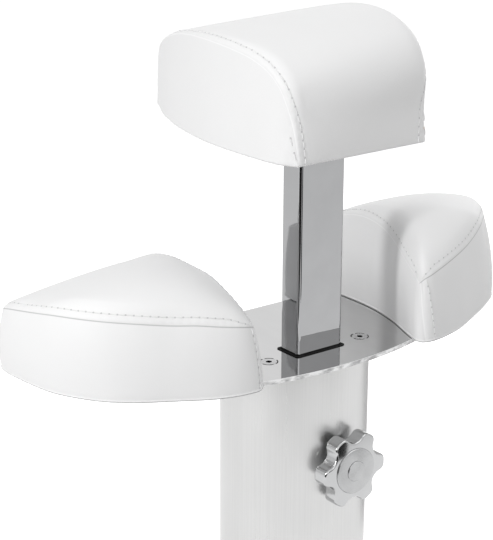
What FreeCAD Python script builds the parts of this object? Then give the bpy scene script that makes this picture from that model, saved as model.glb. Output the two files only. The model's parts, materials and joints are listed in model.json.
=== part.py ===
"""Footrest column of a pedicure chair: a foot pad on a sliding post between two leg pads.

Millimetres. Z is up and the front is -Y. The origin is on the floor, on the axis of the round column.
"""

import FreeCAD, Part
import math
import os
import re

import Sketcher
from FreeCAD import Placement, Rotation, Vector

# Driving sizes: every capitalised name is a cell of the sheet
SIZES = {
    # Floor flange and its rubber seal
    "SealThick": 2.0,
    "FlangeThick": 8.0,
    "FlangeRadius": 120.0,
    "FlangeChamfer": 1.5,
    "AnchorCircleRadius": 100.0,
    "AnchorHoleRadius": 5.5,
    # Round column and the ring that holds it on the flange
    "ColumnRadius": 67.0,
    "ColumnWall": 2.5,
    "SpigotHeight": 30.0,
    "SpigotWall": 6.0,
    "BaseScrewHeight": 15.0,
    "BaseScrewRadius": 3.0,
    "BaseScrewLength": 10.0,
    "ButtonHeadRadius": 5.25,
    "ButtonHeadHeight": 3.3,
    "ButtonTopRadius": 3.25,
    "SmallSocketFlats": 4.0,
    # Mirror plate on top of the column
    "PlateHeight": 440.0,
    "PlateThick": 4.0,
    "PlateHalfLength": 205.0,
    "PlateFrontReach": 50.0,
    "PlateFrontRadius": 350.0,
    "PlateBackReach": 110.0,
    "PlateCornerRadius": 12.0,
    "BracketThick": 8.0,
    "PlateScrewSpacing": 52.2,
    "PlateScrewForward": 6.0,
    "PlateScrewRadius": 4.0,
    "PlateScrewHeadRadius": 8.0,
    "PlateScrewLength": 16.0,
    "PlateSocketFlats": 5.0,
    "SocketDepth": 2.2,
    # Sliding post, its guide and its stop
    "PostForward": 23.0,
    "PostWidth": 50.0,
    "PostDepth": 25.0,
    "PostWall": 2.0,
    "PostCorner": 3.0,
    "PostLength": 420.0,
    "SleeveWall": 2.5,
    "SleeveLength": 146.0,
    "GlideWall": 2.5,
    "GlideLength": 30.0,
    "GlideLip": 3.0,
    "GasketSkirt": 1.2,
    "GasketReach": 2.6,
    "GasketLip": 0.6,
    "PlugDepth": 8.0,
    "PlugFlange": 3.0,
    "StopPinHeight": 12.0,
    "StopPinRadius": 3.0,
    "StopPinProud": 2.2,
    # Clamp screw and star knob
    "KnobDrop": 96.9,
    "StudRadius": 5.0,
    "StudTipRadius": 3.0,
    "StudTipLength": 2.8,
    "ShoeRadius": 7.0,
    "ShoeThick": 4.8,
    "ShoeCounterbore": 3.4,
    "NutBlockWidth": 26.0,
    "NutBlockThick": 14.0,
    "BushRadius": 9.0,
    "BushFlangeRadius": 12.0,
    "BushFlangeThick": 2.0,
    "BushTail": 5.0,
    "KnobStandoff": 0.3,
    "KnobHubRadius": 13.0,
    "KnobHubLength": 2.2,
    "KnobRadius": 34.5,
    "KnobThick": 15.0,
    "KnobNotchRadius": 10.1,
    "KnobNotchCircle": 36.0,
    "KnobLobeRound": 6.0,
    "KnobEdgeRound": 1.8,
    "KnobBoreMargin": 2.0,
    "FaceDiscRadius": 21.0,
    "FaceDiscThick": 1.4,
    "FaceButtonRadius": 9.4,
    "FaceButtonThick": 1.0,
    "FaceRimChamfer": 0.5,
    # Upholstery
    "PadLift": 189.5,
    "CoverThick": 1.2,
    "HemWidth": 16.0,
    "BoardThick": 12.0,
    "DustCoverThick": 0.6,
    "HeadPlateThick": 4.0,
    "HeadPlateHalfWidth": 42.0,
    "HeadPlateFront": 35.0,
    "HeadPlateBack": 100.0,
    "HeadScrewSide": 31.0,
    "HeadScrewFront": 24.0,
    "HeadScrewBack": 88.0,
    "PadScrewRadius": 3.0,
    "PadScrewLength": 16.0,
    "TeeFlangeRadius": 9.0,
    "TeeFlangeThick": 1.5,
    "TeeBarrelRadius": 4.0,
    "TeeBarrelLength": 10.0,
    "SidePadInset": 84.0,
    "LeftPadShift": 3.0,
    "SideScrewNear": 50.0,
    "SideScrewFar": 106.0,
    "SideScrewFront": 20.0,
    "SideScrewBack": 88.0,
    # Clearances
    "FitGap": 0.1,
    "RunGap": 0.05,
    "HoleGap": 0.3,
}

# Upholstered outlines, from front to back. Every row is a section across the pad:
# place behind the post axis, left and right edge, left and right seam height, rise of the
# left and right shoulder beside the seams, rise of the crown between the shoulders, and
# how far the left and right wall lean in.
FOOT_PAD = [
    (-65.0, -68.0, 67.0, 222.0, 224.0, 3.0, 3.0, 5.0, 1.0, 1.0),
    (-62.0, -71.0, 70.0, 232.0, 235.0, 4.0, 6.0, 6.0, 2.0, 1.5),
    (-57.5, -75.0, 73.0, 241.0, 244.0, 6.0, 9.5, 6.0, 2.5, 2.0),
    (-52.0, -78.5, 75.5, 250.0, 251.0, 8.0, 13.0, 5.0, 3.0, 2.0),
    (-44.0, -81.0, 78.0, 259.5, 259.5, 8.5, 16.5, 4.0, 3.0, 2.0),
    (-33.0, -82.2, 80.5, 266.5, 266.5, 8.5, 19.0, 3.0, 3.0, 2.0),
    (-18.0, -83.2, 82.5, 272.0, 272.0, 8.0, 20.0, 2.5, 3.0, 2.0),
    (2.0, -83.5, 83.5, 275.5, 275.5, 7.0, 19.5, 2.5, 3.0, 2.5),
    (27.0, -82.2, 82.2, 277.0, 277.0, 6.0, 18.0, 2.0, 3.0, 3.0),
    (52.0, -79.0, 79.0, 277.0, 277.0, 4.5, 15.5, 1.5, 3.0, 3.0),
    (77.0, -73.8, 73.8, 275.5, 275.5, 3.0, 11.5, 1.5, 3.0, 3.0),
    (102.0, -67.5, 67.5, 272.0, 272.0, 2.5, 8.0, 1.5, 3.0, 3.0),
    (127.0, -59.5, 59.5, 266.0, 266.0, 2.5, 6.0, 1.5, 3.0, 3.0),
    (150.0, -51.0, 51.0, 258.0, 258.0, 2.5, 4.5, 1.5, 3.0, 3.0),
    (170.0, -42.0, 42.0, 249.0, 249.0, 2.5, 3.0, 1.5, 3.0, 3.0),
    (184.0, -34.0, 34.0, 239.0, 239.0, 2.0, 2.0, 1.5, 3.0, 3.0),
]
# The leg pads, measured sideways from the innermost corner and up from the plate, with the
# inner edge first. They are sewn by hand, and the right one stands higher at its outer side.
RIGHT_PAD = [
    (-54.5, 5.0, 25.0, 56.5, 63.0, 1.5, 1.5, 0.8, 1.5, 2.5),
    (-52.0, 2.4, 35.0, 57.5, 67.5, 2.5, 2.5, 2.0, 2.0, 3.0),
    (-47.0, 0.0, 52.0, 59.0, 73.5, 4.0, 4.0, 4.5, 2.0, 3.0),
    (-39.5, 2.0, 69.0, 64.0, 78.0, 6.0, 6.0, 6.0, 2.0, 3.0),
    (-31.5, 4.6, 84.0, 69.0, 81.5, 8.0, 7.5, 7.0, 2.5, 3.5),
    (-13.0, 11.5, 121.0, 76.5, 85.5, 10.0, 8.5, 8.5, 3.0, 7.0),
    (2.0, 17.0, 143.5, 81.0, 86.0, 11.0, 8.0, 9.0, 3.0, 12.0),
    (24.0, 23.0, 158.0, 86.0, 84.0, 10.0, 7.0, 9.0, 3.0, 13.0),
    (45.0, 26.7, 164.0, 88.0, 80.0, 7.0, 7.0, 9.0, 3.0, 12.0),
    (64.0, 28.0, 165.5, 87.0, 76.0, 5.0, 6.0, 9.0, 3.0, 10.0),
    (85.0, 28.0, 165.5, 82.0, 71.0, 3.0, 5.0, 8.0, 3.0, 8.0),
    (107.0, 28.0, 163.5, 74.5, 64.0, 2.5, 4.0, 6.5, 3.0, 6.0),
    (121.0, 31.0, 157.0, 68.0, 57.0, 2.0, 3.0, 5.0, 3.0, 4.0),
    (127.0, 37.0, 149.0, 63.0, 52.0, 1.5, 2.0, 3.0, 3.0, 3.0),
]
LEFT_PAD = [
    (-54.5, 12.0, 33.0, 56.0, 58.0, 1.0, 1.5, 0.8, 4.5, 2.5),
    (-52.0, 8.5, 40.0, 57.0, 59.5, 1.5, 2.0, 2.0, 9.0, 3.0),
    (-47.0, 3.5, 54.0, 59.0, 61.5, 2.0, 3.5, 4.0, 13.5, 3.0),
    (-39.5, 0.5, 68.0, 63.0, 64.0, 2.5, 5.5, 6.0, 16.0, 3.0),
    (-31.5, 3.6, 82.0, 67.5, 66.3, 3.0, 7.0, 8.0, 13.0, 3.0),
    (-13.0, 11.5, 111.5, 77.0, 69.7, 3.5, 9.0, 9.0, 6.0, 3.0),
    (2.0, 17.0, 128.5, 84.0, 71.5, 3.5, 9.5, 9.0, 2.0, 3.0),
    (24.0, 23.0, 143.5, 90.0, 72.0, 3.5, 9.0, 7.0, 1.0, 3.0),
    (45.0, 26.7, 153.0, 93.5, 70.5, 3.0, 7.0, 5.0, 1.0, 3.0),
    (64.0, 28.0, 156.5, 92.0, 67.5, 2.5, 5.0, 4.0, 1.0, 3.0),
    (85.0, 28.0, 157.5, 84.5, 63.5, 2.0, 4.0, 2.5, 2.0, 3.0),
    (107.0, 28.0, 157.3, 74.0, 58.0, 2.0, 3.0, 2.0, 3.0, 3.0),
    (121.0, 31.0, 154.0, 68.0, 52.5, 2.0, 2.5, 1.5, 3.0, 3.0),
    (127.0, 37.0, 148.0, 63.0, 49.0, 1.5, 2.0, 1.0, 3.0, 3.0),
]
# Shape of a section: how far the walls bow out, and how the shoulders run
WALL_BOW = 1.6
SHOULDER_RUN = 9.0
SHOULDER_SAG_SHARE = 0.12
# Lengths nearer than this count as equal
NEAR = 1e-3
# How far a cut runs past the face that it opens
OVERRUN = 1.0
# What repeats round an axis
ANCHOR_HOLES = 4
BASE_SCREWS = 3
KNOB_LOBES = 6

doc = FreeCAD.newDocument("FootrestColumn")
sheet = doc.addObject("Spreadsheet::Sheet", "Sizes")
for row, (alias, number) in enumerate(SIZES.items(), start=1):
    sheet.set(f"A{row}", alias)
    sheet.set(f"B{row}", str(number))
    sheet.setAlias(f"B{row}", alias)
doc.recompute()

SUB_PARTS = []


def size(alias):
    """The number in a cell of the sheet."""
    return float(sheet.get(alias))


def formula(text):
    """A formula for setExpression in which every capitalised word is a cell of the sheet."""
    return re.sub(r"\b[A-Z]\w*", lambda word: "Sizes." + word.group(0), text)


def bind(thing, prop, text):
    """Ties one property of an object to the sheet."""
    thing.setExpression(prop, formula(text))


def seat(thing, x="0", y="0", z="0", turn=None):
    """Places an object at a point given by formulas, turned as a Rotation says."""
    thing.Placement = Placement(Vector(0, 0, 0), turn or Rotation())
    for axis, text in (("x", x), ("y", y), ("z", z)):
        bind(thing, "Placement.Base." + axis, text)
    return thing


def keep(thing, label):
    """Names a finished sub-part and puts it on the list of pieces to write."""
    thing.Label = label
    SUB_PARTS.append(thing)
    return thing


# Planes that pieces share, as formulas
PLATE_BOTTOM = "(PlateHeight - PlateThick)"
COLUMN_FOOT = "(SealThick + FlangeThick)"
COLUMN_BORE = "(ColumnRadius - ColumnWall)"
POST_TOP = "(PlateHeight + PadLift + CoverThick - HeadPlateThick)"
POST_BOTTOM = "(PlateHeight + PadLift + CoverThick - HeadPlateThick - PostLength)"
SLEEVE_BORE_WIDTH = "(PostWidth + 2 * (FitGap + GlideWall + FitGap))"
SLEEVE_BORE_DEPTH = "(PostDepth + 2 * (FitGap + GlideWall + FitGap))"
SLEEVE_WIDTH = "(PostWidth + 2 * (FitGap + GlideWall + FitGap + SleeveWall))"
SLEEVE_DEPTH = "(PostDepth + 2 * (FitGap + GlideWall + FitGap + SleeveWall))"
KNOB_HEIGHT = "(PlateHeight - KnobDrop)"
POST_FACE = "(PostForward + PostDepth / 2)"
SHOE_BACK = "(PostForward + PostDepth / 2 + RunGap + ShoeThick)"
SLEEVE_FACE = "(PostForward + PostDepth / 2 + 2 * FitGap + GlideWall + SleeveWall)"
HUB_BACK = "(ColumnRadius + BushFlangeThick + KnobStandoff)"
FACING_FRONT = Rotation(Vector(1, 0, 0), 90)


# Small helpers for bodies, sketches and primitives
def new_body(name):
    """An empty body."""
    return doc.addObject("PartDesign::Body", name)


def new_sketch(body, plane, height="0"):
    """A sketch on one of the body's own origin planes, raised along its normal."""
    sketch = body.newObject("Sketcher::SketchObject", body.Name + "Sketch")
    origin = [part for part in body.Origin.OriginFeatures if part.Role == plane][0]
    sketch.AttachmentSupport = [(origin, "")]
    sketch.MapMode = "FlatFace"
    bind(sketch, "AttachmentOffset.Base.z", height)
    return sketch


def drive(sketch, constraint, text):
    """Adds a constraint whose value follows the sheet."""
    index = sketch.addConstraint(constraint)
    name = f"size{index}"
    sketch.renameConstraint(index, name)
    bind(sketch, "Constraints." + name, text)


def draw_circle(sketch, radius, x=None, y=None):
    """A circle on the sketch's own axes, or off them by formulas with positive values."""
    centre = Vector(1 if x else 0, 1 if y else 0, 0)
    circle = sketch.addGeometry(Part.Circle(centre, Vector(0, 0, 1), 1), False)
    drive(sketch, Sketcher.Constraint("Radius", circle, 1.0), radius)
    for kind, text, axis in (("DistanceX", x, -2), ("DistanceY", y, -1)):
        if text:
            drive(sketch, Sketcher.Constraint(kind, -1, 1, circle, 3, 1.0), text)
        else:
            sketch.addConstraint(Sketcher.Constraint("PointOnObject", circle, 3, axis))


def draw_rectangle(sketch, left, right, front, back):
    """A rectangle that reaches these distances from the sketch's origin, each a formula."""
    corners = [Vector(-1, -1, 0), Vector(1, -1, 0), Vector(1, 1, 0), Vector(-1, 1, 0)]
    sides = []
    for k in range(4):
        sides.append(sketch.addGeometry(Part.LineSegment(corners[k], corners[(k + 1) % 4]), False))
    for k in range(4):
        sketch.addConstraint(Sketcher.Constraint("Coincident", sides[k], 2, sides[(k + 1) % 4], 1))
        sketch.addConstraint(Sketcher.Constraint("Vertical" if k % 2 else "Horizontal", sides[k]))
    drive(sketch, Sketcher.Constraint("DistanceX", sides[0], 1, -1, 1, 1.0), left)
    drive(sketch, Sketcher.Constraint("DistanceX", -1, 1, sides[0], 2, 1.0), right)
    drive(sketch, Sketcher.Constraint("DistanceY", sides[0], 1, -1, 1, 1.0), front)
    drive(sketch, Sketcher.Constraint("DistanceY", -1, 1, sides[2], 1, 1.0), back)


def centred_rectangle(sketch, width, depth):
    """A rectangle of the given width and depth about the sketch's origin."""
    draw_rectangle(sketch, f"{width} / 2", f"{width} / 2", f"{depth} / 2", f"{depth} / 2")


def pad(body, sketch, length):
    """Pads a sketch along its normal."""
    feature = body.newObject("PartDesign::Pad", body.Name + "Pad")
    feature.Profile = sketch
    bind(feature, "Length", length)
    doc.recompute()
    return feature


def pocket(body, sketch, length, reverse=False):
    """Cuts a sketch into the body, against its normal, or along it when reversed."""
    before = body.Shape.Volume
    feature = body.newObject("PartDesign::Pocket", body.Name + "Pocket")
    feature.Profile = sketch
    feature.Reversed = reverse
    bind(feature, "Length", length)
    doc.recompute()
    if not body.Shape.Volume < before:
        raise ValueError("a pocket cuts nothing in " + body.Name)
    return feature


def polar(body, feature, count, axis="Z_Axis"):
    """Repeats a feature round one of the body's axes."""
    pattern = body.newObject("PartDesign::PolarPattern", body.Name + "Pattern")
    pattern.Originals = [feature]
    origin = [part for part in body.Origin.OriginFeatures if part.Role == axis][0]
    pattern.Axis = (origin, [""])
    pattern.Angle = 360
    pattern.Occurrences = count
    body.Tip = pattern
    doc.recompute()
    return pattern


def round_edges(body, kind, radius, chosen):
    """Fillets or chamfers the edges that the test picks."""
    base = body.Tip
    names = [f"Edge{k}" for k, edge in enumerate(base.Shape.Edges, start=1) if chosen(edge)]
    feature = body.newObject("PartDesign::" + kind, body.Name + kind)
    feature.Base = (base, names)
    bind(feature, "Radius" if kind == "Fillet" else "Size", radius)
    doc.recompute()
    return feature


def is_upright(edge):
    """True for a straight edge along Z."""
    ends = [vertex.Point for vertex in edge.Vertexes]
    return len(ends) == 2 and isinstance(edge.Curve, Part.Line) and abs(ends[0].z - ends[1].z) > NEAR


def at_height(level, largest=None):
    """A test for edges that lie in one level plane, and are circles of one radius if that is given."""

    def chosen(edge):
        box = edge.BoundBox
        flat = abs(box.ZMin - level) < NEAR and abs(box.ZMax - level) < NEAR
        if largest is None or not flat:
            return flat
        return isinstance(edge.Curve, Part.Circle) and abs(edge.Curve.Radius - largest) < NEAR

    return chosen


def cylinder(name, radius, height, **place):
    """A cylinder with formulas for its sizes."""
    solid = doc.addObject("Part::Cylinder", name)
    bind(solid, "Radius", radius)
    bind(solid, "Height", height)
    return seat(solid, **place)


def cone(name, lower, upper, height, **place):
    """A cone with formulas for its sizes."""
    solid = doc.addObject("Part::Cone", name)
    bind(solid, "Radius1", lower)
    bind(solid, "Radius2", upper)
    bind(solid, "Height", height)
    return seat(solid, **place)


def hexagon(name, flats, height, **place):
    """A hexagonal prism with formulas for its sizes."""
    solid = doc.addObject("Part::Prism", name)
    solid.Polygon = 6
    bind(solid, "Circumradius", f"{flats} / sqrt(3)")
    bind(solid, "Height", height)
    return seat(solid, **place)


def joined(name, solids):
    """The union of some solids."""
    union = doc.addObject("Part::MultiFuse", name)
    union.Shapes = solids
    return union


def cut(name, base, tool):
    """One solid less another."""
    result = doc.addObject("Part::Cut", name)
    result.Base = base
    result.Tool = tool
    return result


def group(name, solids):
    """Separate solids under one name."""
    together = doc.addObject("Part::Compound", name)
    together.Links = solids
    return together


# Base: rubber seal, floor flange and the ring inside the column
def drilled_disc(label, thickness, height):
    """A round plate with the four anchor holes."""
    body = new_body(label)
    outline = new_sketch(body, "XY_Plane", height)
    draw_circle(outline, "FlangeRadius")
    pad(body, outline, thickness)
    hole = new_sketch(body, "XY_Plane", height)
    along, across = "AnchorCircleRadius * cos(45)", "AnchorCircleRadius * sin(45)"
    draw_circle(hole, "AnchorHoleRadius", x=along, y=across)
    polar(body, pocket(body, hole, thickness, reverse=True), ANCHOR_HOLES)
    return keep(body, label)


drilled_disc("floor_seal", "SealThick", "0")
flange = drilled_disc("floor_flange", "FlangeThick", "SealThick")
flange_top = size("SealThick") + size("FlangeThick")
round_edges(flange, "Chamfer", "FlangeChamfer", at_height(flange_top, size("FlangeRadius")))


def ring(label, outer, inner, length, height):
    """A plain round tube standing on a level."""
    body = new_body(label)
    outline = new_sketch(body, "XY_Plane", height)
    draw_circle(outline, outer)
    draw_circle(outline, inner)
    pad(body, outline, length)
    return body


def base_screw_holes(body, radius):
    """The screw holes round the foot of the column, one of them straight behind."""
    hole = new_sketch(body, "XZ_Plane")
    draw_circle(hole, radius, y=f"{COLUMN_FOOT} + BaseScrewHeight")
    polar(body, pocket(body, hole, "2 * ColumnRadius"), BASE_SCREWS)


SPIGOT_RADIUS = f"({COLUMN_BORE} - FitGap)"
spigot = ring("base_spigot", SPIGOT_RADIUS, f"{SPIGOT_RADIUS} - SpigotWall", "SpigotHeight", COLUMN_FOOT)
base_screw_holes(spigot, "BaseScrewRadius + RunGap")
keep(spigot, "base_spigot")

COLUMN_LENGTH = f"{PLATE_BOTTOM} - {COLUMN_FOOT}"
column = ring("column_tube", "ColumnRadius", COLUMN_BORE, COLUMN_LENGTH, COLUMN_FOOT)
base_screw_holes(column, "BaseScrewRadius + HoleGap")
stud_hole = new_sketch(column, "XZ_Plane")
draw_circle(stud_hole, "BushRadius", y=KNOB_HEIGHT)
pocket(column, stud_hole, "2 * ColumnRadius", reverse=True)
keep(column, "column_tube")


def button_screw(name, radius, length, flats, **place):
    """A button-head screw whose head rises from its placement along its own Z."""
    shank = cylinder(name + "Shank", radius, length, z=f"-{length}")
    head = cone(name + "Head", "ButtonHeadRadius", "ButtonTopRadius", "ButtonHeadHeight")
    socket = hexagon(name + "Socket", flats, f"SocketDepth + {OVERRUN}", z="ButtonHeadHeight - SocketDepth")
    return seat(cut(name, joined(name + "Blank", [shank, head]), socket), **place)


def base_screws():
    """The screws that hold the column on its ring."""
    screws = []
    for k in range(BASE_SCREWS):
        angle = 90 + 360 / BASE_SCREWS * k
        screws.append(
            button_screw(
                f"BaseScrew{k}",
                "BaseScrewRadius",
                "BaseScrewLength",
                "SmallSocketFlats",
                x=f"ColumnRadius * cos({angle})",
                y=f"ColumnRadius * sin({angle})",
                z=f"{COLUMN_FOOT} + BaseScrewHeight",
                turn=Rotation(Vector(0, 0, 1), angle) * Rotation(Vector(0, 1, 0), 90),
            )
        )
    return screws


keep(group("BaseScrews", base_screws()), "column_screws")


# Bracket, guide sleeve and glides inside the top of the column
def post_frame(body, width, depth, height):
    """A sketch with one rectangle about the post axis, in front of the column axis."""
    sketch = new_sketch(body, "XY_Plane", height)
    bind(sketch, "AttachmentOffset.Base.y", "-PostForward")
    centred_rectangle(sketch, width, depth)
    return sketch


def post_tube(label, outer, inner, length, height):
    """A rectangular tube about the post axis; outer and inner are pairs of width and depth."""
    body = new_body(label)
    outline = post_frame(body, outer[0], outer[1], height)
    centred_rectangle(outline, inner[0], inner[1])
    pad(body, outline, length)
    return body


BRACKET_BOTTOM = f"({PLATE_BOTTOM} - BracketThick)"
BRACKET_WINDOW = (f"({SLEEVE_WIDTH} + 2 * FitGap)", f"({SLEEVE_DEPTH} + 2 * FitGap)")
bracket = new_body("top_bracket")
bracket_outline = new_sketch(bracket, "XY_Plane", BRACKET_BOTTOM)
draw_circle(bracket_outline, SPIGOT_RADIUS)
pad(bracket, bracket_outline, "BracketThick")
bracket_window = post_frame(bracket, BRACKET_WINDOW[0], BRACKET_WINDOW[1], BRACKET_BOTTOM)
pocket(bracket, bracket_window, "BracketThick", reverse=True)


def mirrored_holes(body, radius, spacing, behind, height, length):
    """Two holes at equal distances either side of the post axis, cut upwards from a level."""
    for side in (1, -1):
        hole = new_sketch(body, "XY_Plane", height)
        bind(hole, "AttachmentOffset.Base.x", f"{side} * {spacing}")
        bind(hole, "AttachmentOffset.Base.y", f"{behind} - PostForward")
        draw_circle(hole, radius)
        pocket(body, hole, length, reverse=True)


mirrored_holes(
    bracket, "PlateScrewRadius + RunGap", "PlateScrewSpacing", "-PlateScrewForward",
    BRACKET_BOTTOM, "BracketThick",
)
keep(bracket, "top_bracket")

SLEEVE_OUTER = (SLEEVE_WIDTH, SLEEVE_DEPTH)
SLEEVE_BORE = (SLEEVE_BORE_WIDTH, SLEEVE_BORE_DEPTH)
SLEEVE_BOTTOM = f"({PLATE_BOTTOM} - SleeveLength)"
sleeve = post_tube("guide_sleeve", SLEEVE_OUTER, SLEEVE_BORE, "SleeveLength", SLEEVE_BOTTOM)
shoe_window = new_sketch(sleeve, "XZ_Plane")
draw_circle(shoe_window, "ShoeRadius + FitGap", y=KNOB_HEIGHT)
pocket(sleeve, shoe_window, "2 * ColumnRadius", reverse=True)
keep(sleeve, "guide_sleeve")

GLIDE_OUTER = ("(PostWidth + 2 * (FitGap + GlideWall))", "(PostDepth + 2 * (FitGap + GlideWall))")
GLIDE_INNER = ("(PostWidth + 2 * FitGap)", "(PostDepth + 2 * FitGap)")
upper_glide_bottom = f"{PLATE_BOTTOM} - GlideLength"
upper_glide = post_tube("upper_glide", GLIDE_OUTER, GLIDE_INNER, "GlideLength", upper_glide_bottom)
keep(upper_glide, "upper_glide")

lower_glide_bottom = f"{SLEEVE_BOTTOM} - GlideLip"
lower_glide = post_tube("lower_glide", SLEEVE_OUTER, GLIDE_INNER, "GlideLip", lower_glide_bottom)
glide_neck = post_frame(lower_glide, GLIDE_OUTER[0], GLIDE_OUTER[1], SLEEVE_BOTTOM)
centred_rectangle(glide_neck, GLIDE_INNER[0], GLIDE_INNER[1])
pad(lower_glide, glide_neck, "GlideLength")
keep(lower_glide, "lower_glide")


# Mirror plate, its two screws and the gasket round the post
def plate_outline(sketch):
    """Straight back and ends, and one wide arc as the front edge."""
    half, back = size("PlateHalfLength"), size("PlateBackReach")
    reach, radius = size("PlateFrontReach"), size("PlateFrontRadius")
    centre = Vector(0, radius - reach, 0)
    corner = centre.y - math.sqrt(radius**2 - half**2)
    front = Part.Arc(Vector(-half, corner, 0), Vector(0, -reach, 0), Vector(half, corner, 0))
    points = [Vector(half, corner, 0), Vector(half, back, 0)]
    points += [Vector(-half, back, 0), Vector(-half, corner, 0)]
    arc = sketch.addGeometry(front, False)
    sides = []
    for k in range(3):
        sides.append(sketch.addGeometry(Part.LineSegment(points[k], points[k + 1]), False))
    left_end, right_end = (1, 2) if sketch.Geometry[arc].StartPoint.x < 0 else (2, 1)
    sketch.addConstraint(Sketcher.Constraint("Coincident", arc, right_end, sides[0], 1))
    sketch.addConstraint(Sketcher.Constraint("Coincident", sides[0], 2, sides[1], 1))
    sketch.addConstraint(Sketcher.Constraint("Coincident", sides[1], 2, sides[2], 1))
    sketch.addConstraint(Sketcher.Constraint("Coincident", sides[2], 2, arc, left_end))
    sketch.addConstraint(Sketcher.Constraint("Vertical", sides[0]))
    sketch.addConstraint(Sketcher.Constraint("Horizontal", sides[1]))
    sketch.addConstraint(Sketcher.Constraint("Vertical", sides[2]))
    sketch.addConstraint(Sketcher.Constraint("PointOnObject", arc, 3, -2))
    to_centre = Sketcher.Constraint("DistanceY", -1, 1, arc, 3, centre.y)
    drive(sketch, to_centre, "PlateFrontRadius - PlateFrontReach")
    drive(sketch, Sketcher.Constraint("Radius", arc, radius), "PlateFrontRadius")
    drive(sketch, Sketcher.Constraint("DistanceX", -1, 1, sides[0], 2, half), "PlateHalfLength")
    drive(sketch, Sketcher.Constraint("DistanceX", sides[1], 2, -1, 1, half), "PlateHalfLength")
    drive(sketch, Sketcher.Constraint("DistanceY", -1, 1, sides[0], 2, back), "PlateBackReach")


plate = new_body("top_plate")
plate_sketch = new_sketch(plate, "XY_Plane", PLATE_BOTTOM)
bind(plate_sketch, "AttachmentOffset.Base.y", "-PostForward")
plate_outline(plate_sketch)
pad(plate, plate_sketch, "PlateThick")
GASKET_SKIRT = ("(PostWidth + 2 * (FitGap + GasketSkirt))", "(PostDepth + 2 * (FitGap + GasketSkirt))")
GASKET_HOLE = (f"({GASKET_SKIRT[0]} + 2 * FitGap)", f"({GASKET_SKIRT[1]} + 2 * FitGap)")
gasket_hole = post_frame(plate, GASKET_HOLE[0], GASKET_HOLE[1], PLATE_BOTTOM)
pocket(plate, gasket_hole, "PlateThick", reverse=True)


def at_plate_end(edge):
    """True for the four upright edges at the ends of the plate."""
    return is_upright(edge) and abs(edge.Vertexes[0].Point.x) > 0.9 * size("PlateHalfLength")


round_edges(plate, "Fillet", "PlateCornerRadius", at_plate_end)
mirrored_holes(
    plate, "PlateScrewRadius + HoleGap", "PlateScrewSpacing", "-PlateScrewForward",
    PLATE_BOTTOM, "PlateThick",
)
for far in ("SideScrewNear", "SideScrewFar"):
    for behind in ("SideScrewFront", "SideScrewBack"):
        mirrored_holes(
            plate, "PadScrewRadius + HoleGap + LeftPadShift / 2",
            f"(SidePadInset + LeftPadShift / 2 + {far})", behind, PLATE_BOTTOM, "PlateThick",
        )


def countersinks(body):
    """Turned seats for the two screw heads, open at the top face."""
    for side in (1, -1):
        profile = new_sketch(body, "XZ_Plane", "PostForward + PlateScrewForward")
        bind(profile, "AttachmentOffset.Base.x", f"{side} * PlateScrewSpacing")
        bind(profile, "AttachmentOffset.Base.y", PLATE_BOTTOM)
        shank, head = size("PlateScrewRadius"), size("PlateScrewHeadRadius")
        thick = size("PlateThick")
        points = [Vector(0, thick - head + shank, 0), Vector(shank, thick - head + shank, 0)]
        points += [Vector(head, thick, 0), Vector(0, thick, 0)]
        lines = []
        for k in range(4):
            lines.append(profile.addGeometry(Part.LineSegment(points[k], points[(k + 1) % 4]), False))
        for k in range(4):
            profile.addConstraint(Sketcher.Constraint("Coincident", lines[k], 2, lines[(k + 1) % 4], 1))
        profile.addConstraint(Sketcher.Constraint("Horizontal", lines[0]))
        profile.addConstraint(Sketcher.Constraint("Horizontal", lines[2]))
        profile.addConstraint(Sketcher.Constraint("PointOnObject", lines[0], 1, -2))
        profile.addConstraint(Sketcher.Constraint("PointOnObject", lines[3], 1, -2))
        narrow = Sketcher.Constraint("DistanceX", -1, 1, lines[0], 2, shank)
        wide = Sketcher.Constraint("DistanceX", -1, 1, lines[2], 1, head)
        top = Sketcher.Constraint("DistanceY", -1, 1, lines[2], 1, thick)
        deep = Sketcher.Constraint("DistanceY", lines[0], 2, lines[2], 1, head - shank)
        drive(profile, narrow, "PlateScrewRadius + RunGap")
        drive(profile, wide, "PlateScrewHeadRadius + RunGap")
        drive(profile, top, "PlateThick")
        drive(profile, deep, "PlateScrewHeadRadius - PlateScrewRadius")
        before = body.Shape.Volume
        seat_cut = body.newObject("PartDesign::Groove", body.Name + "Groove")
        seat_cut.Profile = profile
        seat_cut.ReferenceAxis = (profile, ["V_Axis"])
        seat_cut.Angle = 360
        doc.recompute()
        if not body.Shape.Volume < before:
            raise ValueError("a countersink cuts nothing")


countersinks(plate)
keep(plate, "top_plate")


def plate_screw(name, side):
    """A countersunk screw with a hexagon socket, its head flush with the plate."""
    rise = "(PlateScrewHeadRadius - PlateScrewRadius)"
    shank = cylinder(name + "Shank", "PlateScrewRadius", "PlateScrewLength", z="-PlateScrewLength")
    head = cone(name + "Head", "PlateScrewRadius", "PlateScrewHeadRadius", rise, z=f"-{rise}")
    socket = hexagon(name + "Socket", "PlateSocketFlats", "SocketDepth", z="-SocketDepth")
    return seat(
        cut(name, joined(name + "Blank", [shank, head]), socket),
        x=f"{side} * PlateScrewSpacing",
        y="-PostForward - PlateScrewForward",
        z="PlateHeight",
    )


top_screws = [plate_screw("PlateScrewRight", 1), plate_screw("PlateScrewLeft", -1)]
keep(group("PlateScrews", top_screws), "plate_screws")

GASKET_LIP = ("(PostWidth + 2 * GasketReach)", "(PostDepth + 2 * GasketReach)")
gasket = post_tube("post_gasket", GASKET_SKIRT, GLIDE_INNER, "PlateThick", PLATE_BOTTOM)
gasket_lip = post_frame(gasket, GASKET_LIP[0], GASKET_LIP[1], "PlateHeight")
centred_rectangle(gasket_lip, GLIDE_INNER[0], GLIDE_INNER[1])
pad(gasket, gasket_lip, "GasketLip")


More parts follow.
